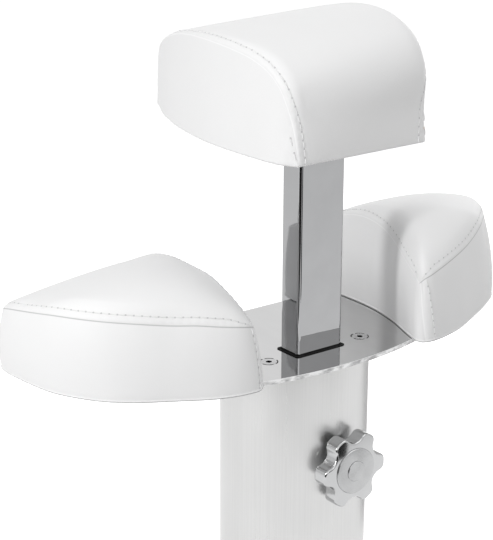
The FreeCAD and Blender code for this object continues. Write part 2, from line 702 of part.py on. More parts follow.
def at_lip_corner(edge):
    """True for the outer upright edges of the gasket's lip."""
    side = abs(edge.Vertexes[0].Point.x) - size("PostWidth") / 2 - size("GasketReach")
    high = edge.BoundBox.ZMax > size("PlateHeight") + size("GasketLip") / 2
    return is_upright(edge) and high and abs(side) < NEAR


round_edges(gasket, "Fillet", "PostCorner", at_lip_corner)
keep(gasket, "post_gasket")

# Sliding post with its end plug, stop pin and head plate
post = new_body("foot_post")
pad(post, post_frame(post, "PostWidth", "PostDepth", POST_BOTTOM), "PostLength")
round_edges(post, "Fillet", "PostCorner", is_upright)
POST_BORE = ("(PostWidth - 2 * PostWall)", "(PostDepth - 2 * PostWall)")
pocket(post, post_frame(post, POST_BORE[0], POST_BORE[1], POST_BOTTOM), "PostLength", reverse=True)
pin_hole = new_sketch(post, "XZ_Plane", "PostForward - PostDepth")
draw_circle(pin_hole, "StopPinRadius + RunGap", y=f"{POST_BOTTOM} + StopPinHeight")
pocket(post, pin_hole, "2 * PostDepth", reverse=True)
keep(post, "foot_post")

PLUG_NECK = (f"({POST_BORE[0]} - 2 * FitGap)", f"({POST_BORE[1]} - 2 * FitGap)")
plug = new_body("post_end_plug")
pad(plug, post_frame(plug, "PostWidth", "PostDepth", f"{POST_BOTTOM} - PlugFlange"), "PlugFlange")
round_edges(plug, "Fillet", "PostCorner", is_upright)
pad(plug, post_frame(plug, PLUG_NECK[0], PLUG_NECK[1], POST_BOTTOM), "PlugDepth")
keep(plug, "post_end_plug")

stop_pin = cylinder(
    "StopPin", "StopPinRadius", "PostDepth + 2 * StopPinProud",
    y="-PostForward + PostDepth / 2 + StopPinProud",
    z=f"{POST_BOTTOM} + StopPinHeight",
    turn=FACING_FRONT,
)
keep(stop_pin, "stop_pin")

head_plate = new_body("head_plate")
head_outline = new_sketch(head_plate, "XY_Plane", POST_TOP)
bind(head_outline, "AttachmentOffset.Base.y", "-PostForward")
draw_rectangle(
    head_outline, "HeadPlateHalfWidth", "HeadPlateHalfWidth", "HeadPlateFront", "HeadPlateBack"
)
pad(head_plate, head_outline, "HeadPlateThick")
round_edges(head_plate, "Fillet", "2 * PostCorner", is_upright)
for behind in ("-HeadScrewFront", "HeadScrewBack"):
    mirrored_holes(
        head_plate, "PadScrewRadius + HoleGap", "HeadScrewSide", behind, POST_TOP, "HeadPlateThick"
    )
keep(head_plate, "head_plate")


# Clamp screw: threaded block on the sleeve, bush in the column, shoe, stud and star knob
def lathe(label, steps, start):
    """Cylinders on the knob's axis, one after another to the front; steps pair radius and length."""
    solids = []
    reach = start
    for k, (radius, length) in enumerate(steps):
        place = {"y": f"-({reach})", "z": KNOB_HEIGHT, "turn": FACING_FRONT}
        solids.append(cylinder(f"{label}Step{k}", radius, length, **place))
        reach = f"{reach} + {length}"
    return joined(label, solids) if len(solids) > 1 else solids[0]


block = doc.addObject("Part::Box", "NutBlockBlank")
bind(block, "Length", "NutBlockWidth")
bind(block, "Width", "NutBlockThick")
bind(block, "Height", "NutBlockWidth")
seat(
    block,
    x="-NutBlockWidth / 2",
    y=f"-{SLEEVE_FACE} - NutBlockThick",
    z=f"{KNOB_HEIGHT} - NutBlockWidth / 2",
)
block_bore = lathe(
    "NutBlockBore",
    [("ShoeRadius + FitGap", "ShoeCounterbore"), ("StudRadius + RunGap", "NutBlockThick")],
    SLEEVE_FACE,
)
keep(cut("NutBlock", block, block_bore), "clamp_nut_block")

bush_back = "ColumnRadius - BushTail"
bush_steps = [("BushRadius - FitGap", "BushTail"), ("BushFlangeRadius", "BushFlangeThick")]
bush_bore_steps = [("StudRadius + FitGap", "BushTail + BushFlangeThick")]
bush_blank = lathe("StudBushBlank", bush_steps, bush_back)
bush_bore = lathe("StudBushBore", bush_bore_steps, bush_back)
keep(cut("StudBush", bush_blank, bush_bore), "stud_bush")

shoe_bore_steps = [("StudTipRadius + RunGap", "StudTipLength + RunGap")]
shoe_blank = lathe("ShoeBlank", [("ShoeRadius", "ShoeThick")], f"{POST_FACE} + RunGap")
shoe_bore = lathe("ShoeBore", shoe_bore_steps, f"{SHOE_BACK} - StudTipLength - RunGap")
keep(cut("PressureShoe", shoe_blank, shoe_bore), "pressure_shoe")

STUD_END = f"({HUB_BACK} + KnobHubLength + KnobThick - KnobBoreMargin)"
stud_steps = [
    ("StudTipRadius", "StudTipLength + RunGap"),
    ("StudRadius", f"({STUD_END} - {SHOE_BACK} - RunGap)"),
]
keep(lathe("ClampStudSteps", stud_steps, f"{SHOE_BACK} - StudTipLength"), "clamp_stud")

star = new_body("knob_star")
star_disc = new_sketch(star, "XZ_Plane", f"{HUB_BACK} + KnobHubLength")
bind(star_disc, "AttachmentOffset.Base.y", KNOB_HEIGHT)
draw_circle(star_disc, "KnobRadius")
pad(star, star_disc, "KnobThick")
notch = new_sketch(star, "XZ_Plane", f"{HUB_BACK} + KnobHubLength")
bind(notch, "AttachmentOffset.Base.y", KNOB_HEIGHT)
draw_circle(notch, "KnobNotchRadius", y="KnobNotchCircle")
first_notch = pocket(star, notch, "KnobThick", reverse=True)
lobes = star.newObject("PartDesign::PolarPattern", "knob_starPattern")
lobes.Originals = [first_notch]
lobes.Axis = (star_disc, ["N_Axis"])
lobes.Angle = 360
lobes.Occurrences = KNOB_LOBES
star.Tip = lobes
doc.recompute()


def along_knob(edge):
    """True for a straight edge along the knob's axis."""
    ends = [vertex.Point for vertex in edge.Vertexes]
    return len(ends) == 2 and isinstance(edge.Curve, Part.Line) and abs(ends[0].y - ends[1].y) > NEAR


def on_star_rim(edge):
    """True for the edges of the star's front and back faces."""
    return edge.BoundBox.YLength < NEAR


round_edges(star, "Fillet", "KnobLobeRound", along_knob)
round_edges(star, "Fillet", "KnobEdgeRound", on_star_rim)
hub = new_sketch(star, "XZ_Plane", HUB_BACK)
bind(hub, "AttachmentOffset.Base.y", KNOB_HEIGHT)
draw_circle(hub, "KnobHubRadius")
pad(star, hub, "KnobHubLength + KnobThick / 2")
bore = new_sketch(star, "XZ_Plane", HUB_BACK)
bind(bore, "AttachmentOffset.Base.y", KNOB_HEIGHT)
draw_circle(bore, "StudRadius + RunGap")
pocket(star, bore, "KnobHubLength + KnobThick - KnobBoreMargin + RunGap", reverse=True)
keep(star, "knob_star")

STAR_FRONT = f"{HUB_BACK} + KnobHubLength + KnobThick"


def bevelled_disc(label, radius, thickness, start):
    """A disc on the knob's axis with a bevel round its front."""
    place = {"z": KNOB_HEIGHT, "turn": FACING_FRONT}
    flat = f"({thickness} - FaceRimChamfer)"
    disc = cylinder(label + "Disc", radius, flat, y=f"-({start})", **place)
    bevel = cone(
        label + "Bevel", radius, f"{radius} - FaceRimChamfer", "FaceRimChamfer",
        y=f"-({start} + {flat})", **place,
    )
    return joined(label, [disc, bevel])


keep(bevelled_disc("FaceDisc", "FaceDiscRadius", "FaceDiscThick", STAR_FRONT), "knob_face_disc")
button_back = f"{STAR_FRONT} + FaceDiscThick"
keep(bevelled_disc("FaceButton", "FaceButtonRadius", "FaceButtonThick", button_back), "knob_button")


# Upholstery: covers, foam, boards and their nuts and screws
def slope(rows, k, edge):
    """How much longer one edge of the outline is than its run along Y, beside one row."""
    before, after = rows[max(k - 1, 0)], rows[min(k + 1, len(rows) - 1)]
    return math.hypot(1.0, (after[edge] - before[edge]) / (after[0] - before[0]))


def inset_rows(rows, inset):
    """The sections of a pad drawn in by one thickness, square to its outline."""
    inner = []
    for k, row in enumerate(rows):
        shift = inset if k == 0 else -inset if k == len(rows) - 1 else 0.0
        edges = (row[1] + inset * slope(rows, k, 1), row[2] - inset * slope(rows, k, 2))
        inner.append((row[0] + shift, *edges, row[3] - inset, row[4] - inset, *row[5:]))
    return inner


def bowed(first, last, sag):
    """An arc from one point to another that stands off the straight line by its sag."""
    middle = (first + last) * 0.5
    along = last - first
    outward = Vector(along.z, 0, -along.x).normalize()
    return Part.Arc(first, middle + outward * sag, last).toShape()


def section_wire(row, floor):
    """One closed section: floor, right wall, right shoulder, crown, left shoulder, left wall."""
    behind, left, right, left_seam, right_seam, left_rise, right_rise, crown, left_lean, right_lean = row
    left_top, right_top = left + left_lean, right - right_lean
    run = min(SHOULDER_RUN, (right_top - left_top) / 3)
    points = [
        Vector(left, behind, floor),
        Vector(right, behind, floor),
        Vector(right_top, behind, right_seam),
        Vector(right_top - run, behind, right_seam + right_rise),
        Vector(left_top + run, behind, left_seam + left_rise),
        Vector(left_top, behind, left_seam),
    ]
    edges = [Part.LineSegment(points[0], points[1]).toShape()]
    left_sag, right_sag = (SHOULDER_SAG_SHARE * math.hypot(run, rise) for rise in (left_rise, right_rise))
    for k, sag in ((1, WALL_BOW), (2, right_sag), (3, crown), (4, left_sag), (5, WALL_BOW)):
        edges.append(bowed(points[k], points[(k + 1) % 6], sag))
    return Part.Wire(Part.__sortEdges__(edges))


def pad_form(rows, floor):
    """The closed crowned solid through a pad's sections."""
    return Part.makeLoft([section_wire(row, floor) for row in rows], True, False)


def slab(low, high):
    """A block wide enough for any pad, between two levels."""
    reach = 600.0
    return Part.makeBox(2 * reach, 2 * reach, high - low, Vector(-reach, -reach, low))


def plan_prism(rows, inset, low, high):
    """A prism between two levels over a pad's outline, drawn in and straight between sections."""
    first, last = rows[0][0] + inset, rows[-1][0] - inset
    drawn = [row for row in inset_rows(rows, inset) if first <= row[0] <= last and row[2] - row[1] > inset]
    corners = [Vector(row[1], row[0], low) for row in drawn]
    corners += [Vector(row[2], row[0], low) for row in drawn[::-1]]
    return Part.Face(Part.makePolygon(corners + corners[:1])).extrude(Vector(0, 0, high - low))


def screw_places(xs, ys):
    """Every pairing of the screw places along X and Y."""
    return [(x, y) for y in ys for x in xs]


def column_of(radius, low, high, place):
    """An upright cylinder at a place in plan, between two levels."""
    return Part.makeCylinder(radius, high - low, Vector(place[0], place[1], low))


def upholster(prefix, rows, bottom, places):
    """Cover, foam, board and tee nuts of one pad, as plain shapes in pad coordinates."""
    cover, hem, board_thick = size("CoverThick"), size("HemWidth"), size("BoardThick")
    outer = pad_form(rows, bottom)
    core = pad_form(inset_rows(rows, cover), bottom + cover)
    board_bottom = bottom + cover
    board_top = board_bottom + board_thick
    board = core.common(slab(board_bottom, board_top))
    foam = core.cut(slab(board_bottom - OVERRUN, board_top))
    mouth = plan_prism(rows, hem, bottom - cover, board_bottom)
    skin = outer.cut(core).cut(mouth)
    flange, barrel, radius = size("TeeFlangeRadius"), size("TeeBarrelRadius"), size("PadScrewRadius")
    thin, gap = size("TeeFlangeThick"), size("RunGap")
    nuts = []
    for place in places:
        board = board.cut(column_of(barrel + gap, board_bottom - OVERRUN, board_top + OVERRUN, place))
        board = board.cut(column_of(flange + gap, board_top - thin, board_top + OVERRUN, place))
        disc = column_of(flange, board_top - thin, board_top, place)
        tube = column_of(barrel, board_top - size("TeeBarrelLength"), board_top, place)
        thread = column_of(radius + gap, board_bottom, board_top + OVERRUN, place)
        nuts.append(disc.fuse(tube).cut(thread))
    return {
        prefix + "_cover": skin,
        prefix + "_foam": foam,
        prefix + "_board": board,
        prefix + "_tee_nuts": Part.makeCompound(nuts),
    }


def place_shapes(shapes):
    """Adds plain shapes to the document as sub-parts, moved to the post axis."""
    for label, shape in shapes.items():
        feature = doc.addObject("Part::Feature", label)
        feature.Shape = shape
        feature.Placement = Placement(Vector(0, -size("PostForward"), 0), Rotation())
        keep(feature, label)


def raised(rows, rise, shift):
    """Rows moved up and sideways."""
    return [(y, a + shift, b + shift, p + rise, q + rise, *rest) for y, a, b, p, q, *rest in rows]


def mirrored(rows):
    """Rows of the other hand."""
    return [(y, -b, -a, q, p, t, s, crown, n, m) for y, a, b, p, q, s, t, crown, m, n in rows]


plate_height = size("PlateHeight")
foot_bottom = plate_height + size("PadLift")
head_side, head_front, head_back = size("HeadScrewSide"), size("HeadScrewFront"), size("HeadScrewBack")
head_places = screw_places((-head_side, head_side), (-head_front, head_back))
foot_rows = raised(FOOT_PAD, plate_height, 0.0)
place_shapes(upholster("foot_pad", foot_rows, foot_bottom, head_places))

side_ys = (size("SideScrewFront"), size("SideScrewBack"))
right_inset = size("SidePadInset")
left_inset = right_inset + size("LeftPadShift")
right_xs = [right_inset + size("SideScrewNear"), right_inset + size("SideScrewFar")]
left_xs = [-left_inset - size("SideScrewNear"), -left_inset - size("SideScrewFar")]
right_rows = raised(RIGHT_PAD, plate_height, right_inset)
left_rows = mirrored(raised(LEFT_PAD, plate_height, left_inset))
right_places, left_places = screw_places(right_xs, side_ys), screw_places(left_xs, side_ys)
place_shapes(upholster("right_pad", right_rows, plate_height, right_places))
place_shapes(upholster("left_pad", left_rows, plate_height, left_places))


def pad_screws(label, places, underside):
    """Button screws that come up through a plate into the tee nuts, as one group."""
    screws = []
    for k, (x, y) in enumerate(places):
        screws.append(
            button_screw(
                f"{label}{k}", "PadScrewRadius", "PadScrewLength", "SmallSocketFlats",
                x=x, y=f"{y} - PostForward", z=underside, turn=Rotation(Vector(1, 0, 0), 180),
            )
        )
    keep(group(label, screws), label)


head_screws = screw_places(("HeadScrewSide", "-HeadScrewSide"), ("-HeadScrewFront", "HeadScrewBack"))
pad_screws("head_plate_screws", head_screws, POST_TOP)
SIDES = (("right", 1, "SidePadInset"), ("left", -1, "(SidePadInset + LeftPadShift)"))
for label, side, edge in SIDES:
    places = screw_places(
        [f"{side} * ({edge} + {far})" for far in ("SideScrewNear", "SideScrewFar")],
        ("SideScrewFront", "SideScrewBack"),
    )
    pad_screws(label + "_pad_screws", places, PLATE_BOTTOM)


def dust_cover():
    """Thin cloth under the foot board, inside the hem and round the head plate."""
    top = foot_bottom + size("CoverThick")
    bottom = top - size("DustCoverThick")
    margin = size("HoleGap")
    half = size("HeadPlateHalfWidth") + margin
    front, back = size("HeadPlateFront") + margin, size("HeadPlateBack") + margin
    cloth = plan_prism(foot_rows, size("HemWidth") + margin, bottom, top)
    window = Part.makeBox(2 * half, front + back, top - bottom, Vector(-half, -front, bottom))
    return {"foot_dust_cover": cloth.cut(window)}


place_shapes(dust_cover())

# Checks, then one file for each sub-part
doc.recompute()
for thing in doc.Objects:
    if "Invalid" in thing.State or "Error" in thing.State:
        raise ValueError(f"{thing.Label} failed: {thing.State}")
for piece in SUB_PARTS:
    if piece.Shape.isNull() or not piece.Shape.isValid():
        raise ValueError(f"{piece.Label} has no valid shape")
os.makedirs("parts", exist_ok=True)
for piece in SUB_PARTS:
    piece.Shape.exportStep(f"parts/{piece.Label}.step")
    print(piece.Label, round(piece.Shape.Volume), len(piece.Shape.Solids))
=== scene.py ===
"""Looks of a pedicure footrest column: three white pads over a brushed column and a mirror plate.

Lengths are millimetres in the dataclasses of the pads and finishes, and metres in the meshes and in
the studio. The frame is the part's own: +Z up, the front is -Y, and the origin is on the floor on
the axis of the round column.
"""

import json
import logging
import math
from collections.abc import Iterable, Sequence
from dataclasses import dataclass, field
from enum import Enum

import bmesh
import bpy
import numpy as np
from mathutils import Matrix, Vector


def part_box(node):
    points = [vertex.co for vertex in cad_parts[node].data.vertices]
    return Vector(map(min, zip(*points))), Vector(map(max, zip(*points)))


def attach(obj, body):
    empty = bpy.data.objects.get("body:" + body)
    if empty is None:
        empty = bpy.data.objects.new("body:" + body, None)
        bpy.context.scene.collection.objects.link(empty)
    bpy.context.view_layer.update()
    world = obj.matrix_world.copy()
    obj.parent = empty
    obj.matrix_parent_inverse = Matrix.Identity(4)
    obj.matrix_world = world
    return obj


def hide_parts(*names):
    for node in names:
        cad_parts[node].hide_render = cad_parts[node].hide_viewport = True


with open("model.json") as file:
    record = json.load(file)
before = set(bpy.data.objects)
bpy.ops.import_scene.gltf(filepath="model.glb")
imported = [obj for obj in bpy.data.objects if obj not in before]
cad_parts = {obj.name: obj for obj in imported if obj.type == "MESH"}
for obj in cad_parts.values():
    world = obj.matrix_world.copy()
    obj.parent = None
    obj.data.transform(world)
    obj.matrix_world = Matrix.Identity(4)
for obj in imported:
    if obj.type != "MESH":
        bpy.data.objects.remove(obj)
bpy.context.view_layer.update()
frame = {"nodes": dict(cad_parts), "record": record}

LOG = logging.getLogger("footrest_column")
MM = 0.001
# One metre in millimetres
METRE = 1000.0
# Stands for the distance to a seam where none is near
FAR = 1000.0
Row = tuple[float, ...]
Colour = tuple[float, float, float]
Grid = Sequence[Sequence[int]]
Socket = bpy.types.NodeSocket


def middle(node: str, axis: int) -> float:
    """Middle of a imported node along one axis, in metres."""
    low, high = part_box(node)
    return (low[axis] + high[axis]) / 2


# The plate's top face, the knob's and the post's axis, and the foot pad's underside, in metres
PLATE_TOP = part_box("top_plate")[1][2]
KNOB_HEIGHT = middle("knob_star", 2)
POST_Y = middle("foot_post", 1)
FOOT_PAD_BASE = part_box("foot_pad_cover")[0][2]


class Side(Enum):
    """The two hands of a leg pad, as the sign of their X."""

    LEFT = -1
    RIGHT = 1


# Curves and meshes

# How finely a curve and a section are measured
CURVE_STEPS = 800
SECTION_STEPS = 500
# A padded edge rises over this run and half its rise, and this power makes it full
SHOULDER_RUN = 7.0
SHOULDER_POWER = 0.72
# Corners in one cell are the same corner
CELLS_PER_MM = 200


def smooth_path(rows: Sequence[Row], places: np.ndarray | None = None) -> np.ndarray:
    """Reads a smooth curve that passes through rows of numbers.

    Args:
        rows: Numbers of the curve's points; the first three are the position.
        places: Distances along the curve to read it at, or none for a dense reading.

    Returns:
        One row of numbers for each place.
    """
    points = np.array(rows, float)
    knots = path_lengths(points)
    slopes = np.gradient(points, knots, axis=0)
    dense = np.linspace(0.0, knots[-1], CURVE_STEPS)
    k = np.clip(np.searchsorted(knots, dense, side="right") - 1, 0, len(knots) - 2)
    span = (knots[k + 1] - knots[k])[:, None]
    t = (dense - knots[k])[:, None] / span
    curve = (
        (2 * t**3 - 3 * t**2 + 1) * points[k]
        + (t**3 - 2 * t**2 + t) * span * slopes[k]
        + (3 * t**2 - 2 * t**3) * points[k + 1]
        + (t**3 - t**2) * span * slopes[k + 1]
    )
    if places is None:
        return curve
    lengths = path_lengths(curve)
    return np.stack([np.interp(places, lengths, numbers) for numbers in curve.T], axis=1)


def path_lengths(curve: np.ndarray) -> np.ndarray:
    """Distances along a curve to each of its points."""
    steps = np.linalg.norm(np.diff(curve[:, :3], axis=0), axis=1)
    return np.concatenate(([0.0], np.cumsum(steps)))


def spaced(
    length: float, near_start: Sequence[float], near_end: Sequence[float], inner: int
) -> np.ndarray:
    """Places along a length: close to both ends at set distances, and even between.

    Args:
        length: The whole length. The set distances shrink together where it is short.
        near_start: Distances from the start, rising.
        near_end: Distances from the end, rising.
        inner: How many places lie between.

    Returns:
        The places from 0 to the length, always the same number for the same arguments' sizes.
    """
    room = 1.25 * (near_start[-1] + near_end[-1])
    share = min(1.0, length / room)
    start = np.array(near_start) * share
    end = length - np.array(near_end)[::-1] * share
    between = np.linspace(start[-1], end[0], inner + 2)[1:-1]
    return np.concatenate(([0.0], start, between, end, [length]))


def shoulder(distance: np.ndarray | float, run: float) -> np.ndarray | float:
    """Rise of a padded edge from its seam, from 0 at the seam to 1 past the run."""
    share = np.clip(np.asarray(distance) / run, 0.0, 1.0)
    return (1.0 - (1.0 - share) ** 2) ** SHOULDER_POWER


def arch(share: np.ndarray | float) -> np.ndarray | float:
    """Height of an even arch, which is 0 at shares 0 and 1 and 1 in the middle."""
    return 4 * share * (1 - share)


def unit(direction: np.ndarray) -> np.ndarray:
    """The same direction with a length of one, or each direction of several rows."""
    return direction / np.linalg.norm(direction, axis=-1, keepdims=True)


@dataclass(frozen=True)
class Crown:
    """The section across a panel: two shoulders that rise from its seams, and a crown between."""

    width: float
    rises: Row
    crown: float

    def lift(self, place: np.ndarray | float) -> np.ndarray | float:
        """Measures how far the section stands over the line between the seams.

        Args:
            place: Distance from the first seam, or several.

        Returns:
            The height there.
        """
        share = np.asarray(place) / self.width
        first, last = self.rises
        start = shoulder(place, SHOULDER_RUN + first / 2)
        end = shoulder(self.width - place, SHOULDER_RUN + last / 2)
        return (1 - share) * first * start + share * last * end + self.crown * arch(share)

    def places(self, edges: Sequence[float], inner: int) -> tuple[np.ndarray, np.ndarray]:
        """Places across, spaced by distances measured over the curve.

        Args:
            edges: Distances from either seam, rising.
            inner: How many places lie between.

        Returns:
            The places, and each one's distance from the nearer seam.
        """
        dense = self.width * (1 - np.cos(np.linspace(0.0, math.pi, SECTION_STEPS))) / 2
        steps = np.hypot(np.diff(dense), np.diff(self.lift(dense)))
        over = np.concatenate(([0.0], np.cumsum(steps)))
        wanted = spaced(float(over[-1]), edges, edges, inner)
        return np.interp(wanted, over, dense), np.minimum(wanted, over[-1] - wanted)


def add_piece(name: str, data: bpy.types.Mesh) -> bpy.types.Object:
    """Puts a mesh in the scene as one object.

    Args:
        name: Name of the object.
        data: Its mesh.

    Returns:
        The object.
    """
    piece = bpy.data.objects.new(name, data)
    bpy.context.scene.collection.objects.link(piece)
    return piece


def store(data: bpy.types.Mesh, label: str, values: Sequence[float]) -> None:
    """Stores one number for each corner of a mesh."""
    data.attributes.new(label, "FLOAT", "POINT").data.foreach_set("value", values)


def rectangle(name: str, width: float, height: float, level: float = 0.0) -> bpy.types.Mesh:
    """A level rectangle round the origin, as one face.

    Args:
        name: Name of the mesh.
        width: Its size along X.
        height: Its size along Y.
        level: Its place along Z.

    Returns:
        The mesh.
    """
    x, y = width / 2, height / 2
    data = bpy.data.meshes.new(name)
    corners = [(-x, -y, level), (x, -y, level), (x, y, level), (-x, y, level)]
    data.from_pydata(corners, [], [(0, 1, 2, 3)])
    return data


@dataclass
class Form:
    """A mesh in the making, as corners in millimetres and faces between them."""

    points: list[Row] = field(default_factory=list)
    faces: list[tuple[int, ...]] = field(default_factory=list)

    def tube(self, rings: Sequence[Sequence[Row]], closed: bool = False) -> None:
        """Adds a tube through rings of corners, with a cap at each end unless it is closed.

        Args:
            rings: The places of each ring's corners, in order round it.
            closed: Whether the last ring joins the first.
        """
        start, count, sides = len(self.points), len(rings), len(rings[0])
        self.points += [place for ring in rings for place in ring]
        for k in range(count if closed else count - 1):
            first, second = start + k * sides, start + (k + 1) % count * sides
            for s in range(sides):
                t = (s + 1) % sides
                self.faces.append((first + s, first + t, second + t, second + s))
        if not closed:
            self.faces.append(tuple(range(start, start + sides))[::-1])
            self.faces.append(tuple(range(len(self.points) - sides, len(self.points))))

    def mesh(self, name: str, smooth: bool = True) -> bpy.types.Mesh:
        """Makes the mesh, in metres, with its faces outwards.

        Args:
            name: Name of the mesh.
            smooth: Whether its faces are shaded as one curved skin.

        Returns:
            The mesh.
        """
        data = bpy.data.meshes.new(name)
        places = [[value * MM for value in point] for point in self.points]
        data.from_pydata(places, [], self.faces)
        draft = bmesh.new()
        draft.from_mesh(data)
        bmesh.ops.recalc_face_normals(draft, faces=draft.faces)
        draft.to_mesh(data)
        draft.free()
        data.polygons.foreach_set("use_smooth", [smooth] * len(data.polygons))
        return data


@dataclass
class Shell(Form):
    """A sewn cover, gathered from patches of quads, whose corners know how far the seams are."""

    gap: list[float] = field(default_factory=list)
    run: list[float] = field(default_factory=list)
    join: dict[int, float] = field(default_factory=dict)
    known: dict[tuple[int, ...], int] = field(default_factory=dict)

    def corner(self, point: Sequence[float], gap: float = FAR, run: float = 0.0) -> int:
        """Adds a corner, or finds the one that is already there.

        Args:
            point: Its place in millimetres.
            gap: Distance from the seam, positive on the top panel and negative on a wall.
            run: Distance along the seam, negative where the seam is painted with a pale ridge highlight
                and positive where it is painted with shade.

        Returns:
            The corner's index.
        """
        # Two grids of cells, half a cell apart, so that rounding doesn't part equal corners
        keys = [
            (half, *(math.floor(value * CELLS_PER_MM + half / 2) for value in point))
            for half in (0, 1)
        ]
        index = next((self.known[key] for key in keys if key in self.known), len(self.points))
        for key in keys:
            self.known.setdefault(key, index)
        if index == len(self.points):
            self.points.append(tuple(point))
            self.gap.append(gap)
            self.run.append(run)
        return index

    def patch(self, grid: Grid) -> None:
        """Adds the quads between rows of corners, and triangles where corners meet.

        Args:
            grid: Rows of corner indices, all of one length.
        """
        for above, below in zip(grid[:-1], grid[1:]):
            for k in range(len(above) - 1):
                ring = (above[k], above[k + 1], below[k + 1], below[k])
                kept = tuple(dict.fromkeys(ring))
                if len(kept) > 2:
                    self.faces.append(kept)

    def cover(self, name: str) -> bpy.types.Object:
        """Makes the cover, with its distances from the seams stored at the corners.

        Args:
            name: Name of the cover.

        Returns:
            The cover.
        """
        data = self.mesh(name)
        joins = [self.join.get(k, FAR) for k in range(len(self.points))]
        for label, values in (("seam_gap", self.gap), ("seam_run", self.run), ("join_gap", joins)):
            store(data, label, [value * MM for value in values])
        return add_piece(name, data)


def corner_values(piece: bpy.types.Object, label: str) -> np.ndarray:
    """Reads three numbers of each corner of a mesh.

    Args:
        piece: The object that has the mesh.
        label: What is read, "co" for places or "normal" for directions.

    Returns:
        One row for each corner.
    """
    values = np.zeros(len(piece.data.vertices) * 3)
    piece.data.vertices.foreach_get(label, values)
    return values.reshape(-1, 3)


def corner_normals(piece: bpy.types.Object) -> np.ndarray:
    """Outward directions at each corner of a mesh."""
    return corner_values(piece, "normal")


def corner_places(piece: bpy.types.Object) -> np.ndarray:
    """Places of each corner of a mesh, in metres."""
    return corner_values(piece, "co")


def set_places(piece: bpy.types.Object, places: np.ndarray) -> None:
    """Moves each corner of a mesh."""
    piece.data.vertices.foreach_set("co", places.ravel())
    piece.data.update()


@dataclass(frozen=True)
class Stuffing:
    """Foam that swells a sewn cover between its seams."""

    # Most that it moves a corner of the cover
    most: float
    pressure: float = 4.0
    frames: int = 20
    quality: int = 6

    def fill(self, piece: bpy.types.Object, sewn: Iterable[int]) -> None:
        """Swells the cover by a short cloth simulation and keeps its result in the mesh.

        Args:
            piece: The cover.
            sewn: Corners that the seams and the board hold still.
        """
        held = piece.vertex_groups.new(name="sewn")
        held.add(list(sewn), 1.0, "REPLACE")
        cloth = piece.modifiers.new("stuffing", "CLOTH")
        cloth.settings.quality = self.quality
        cloth.settings.vertex_group_mass = held.name
        cloth.settings.use_pressure = True
        cloth.settings.uniform_pressure_force = self.pressure
        cloth.settings.effector_weights.gravity = 0.0
        cloth.collision_settings.use_collision = False
        cloth.point_cache.frame_start = 1
        cloth.point_cache.frame_end = self.frames
        for number in range(1, self.frames + 1):
            bpy.context.scene.frame_set(number)
        swollen = piece.evaluated_get(bpy.context.evaluated_depsgraph_get())
        before = corner_places(piece)
        move = corner_places(swollen) - before
        far = np.linalg.norm(move, axis=1, keepdims=True)
        limit = self.most * MM
        kept = move * (limit * np.tanh(far / limit) / np.maximum(far, 1e-9))
        piece.modifiers.remove(cloth)
        piece.vertex_groups.remove(held)
        bpy.context.scene.frame_set(1)
        set_places(piece, before + kept)


# Rows of small things along a seam or hem


@dataclass
class Trim:
    """Lines on a cover that small things follow, each with the direction that they face."""

    lines: list[tuple[np.ndarray, np.ndarray]] = field(default_factory=list)

    def add(self, piece: bpy.types.Object, corners: Sequence[int], lift: float) -> None:
        """Adds one line.

        Args:
            piece: The cover, whose mesh gives places and directions.
            corners: The corners that the line passes, in order.
            lift: How far the line stands off the cover, in millimetres.
        """
        picked = list(dict.fromkeys(corners))
        facing = corner_normals(piece)[picked]
        self.lines.append((corner_places(piece)[picked] + facing * lift * MM, facing))

    def follow(
        self,
        piece: bpy.types.Object,
        ranks: Grid,
        at: Sequence[float],
        wanted: Sequence[float],
        lift: float,
    ) -> None:
        """Adds a line that crosses ranks of corners at set places between them.

        Args:
            piece: The cover.
            ranks: Rows of corners, each in order.
            at: Places of the corners along every rank, rising.
            wanted: Where the line crosses each rank.
            lift: How far the line stands off the cover, in millimetres.
        """
        points, normals = corner_places(piece), corner_normals(piece)
        line, facing = [], []
        for rank, place in zip(ranks, wanted):
            line.append([np.interp(place, at, numbers) for numbers in points[rank].T])
            facing.append([np.interp(place, at, numbers) for numbers in normals[rank].T])
        self.lines.append((np.array(line) + np.array(facing) * lift * MM, np.array(facing)))

    def guide(self, name: str) -> bpy.types.Object:
        """Makes one mesh of edges along all the lines, with their directions stored.

        Args:
            name: Name of the mesh.

        Returns:
            The guide.
        """
        places = np.concatenate([line for line, _ in self.lines])
        facing = np.concatenate([direction for _, direction in self.lines])
        edges = []
        start = 0
        for line, _ in self.lines:
            edges += [(start + k, start + k + 1) for k in range(len(line) - 1)]
            start += len(line)
        data = bpy.data.meshes.new(name)
        data.from_pydata(places.tolist(), edges, [])
        stored = data.attributes.new("facing", "FLOAT_VECTOR", "POINT")
        stored.data.foreach_set("vector", facing.ravel())
        return add_piece(name, data)


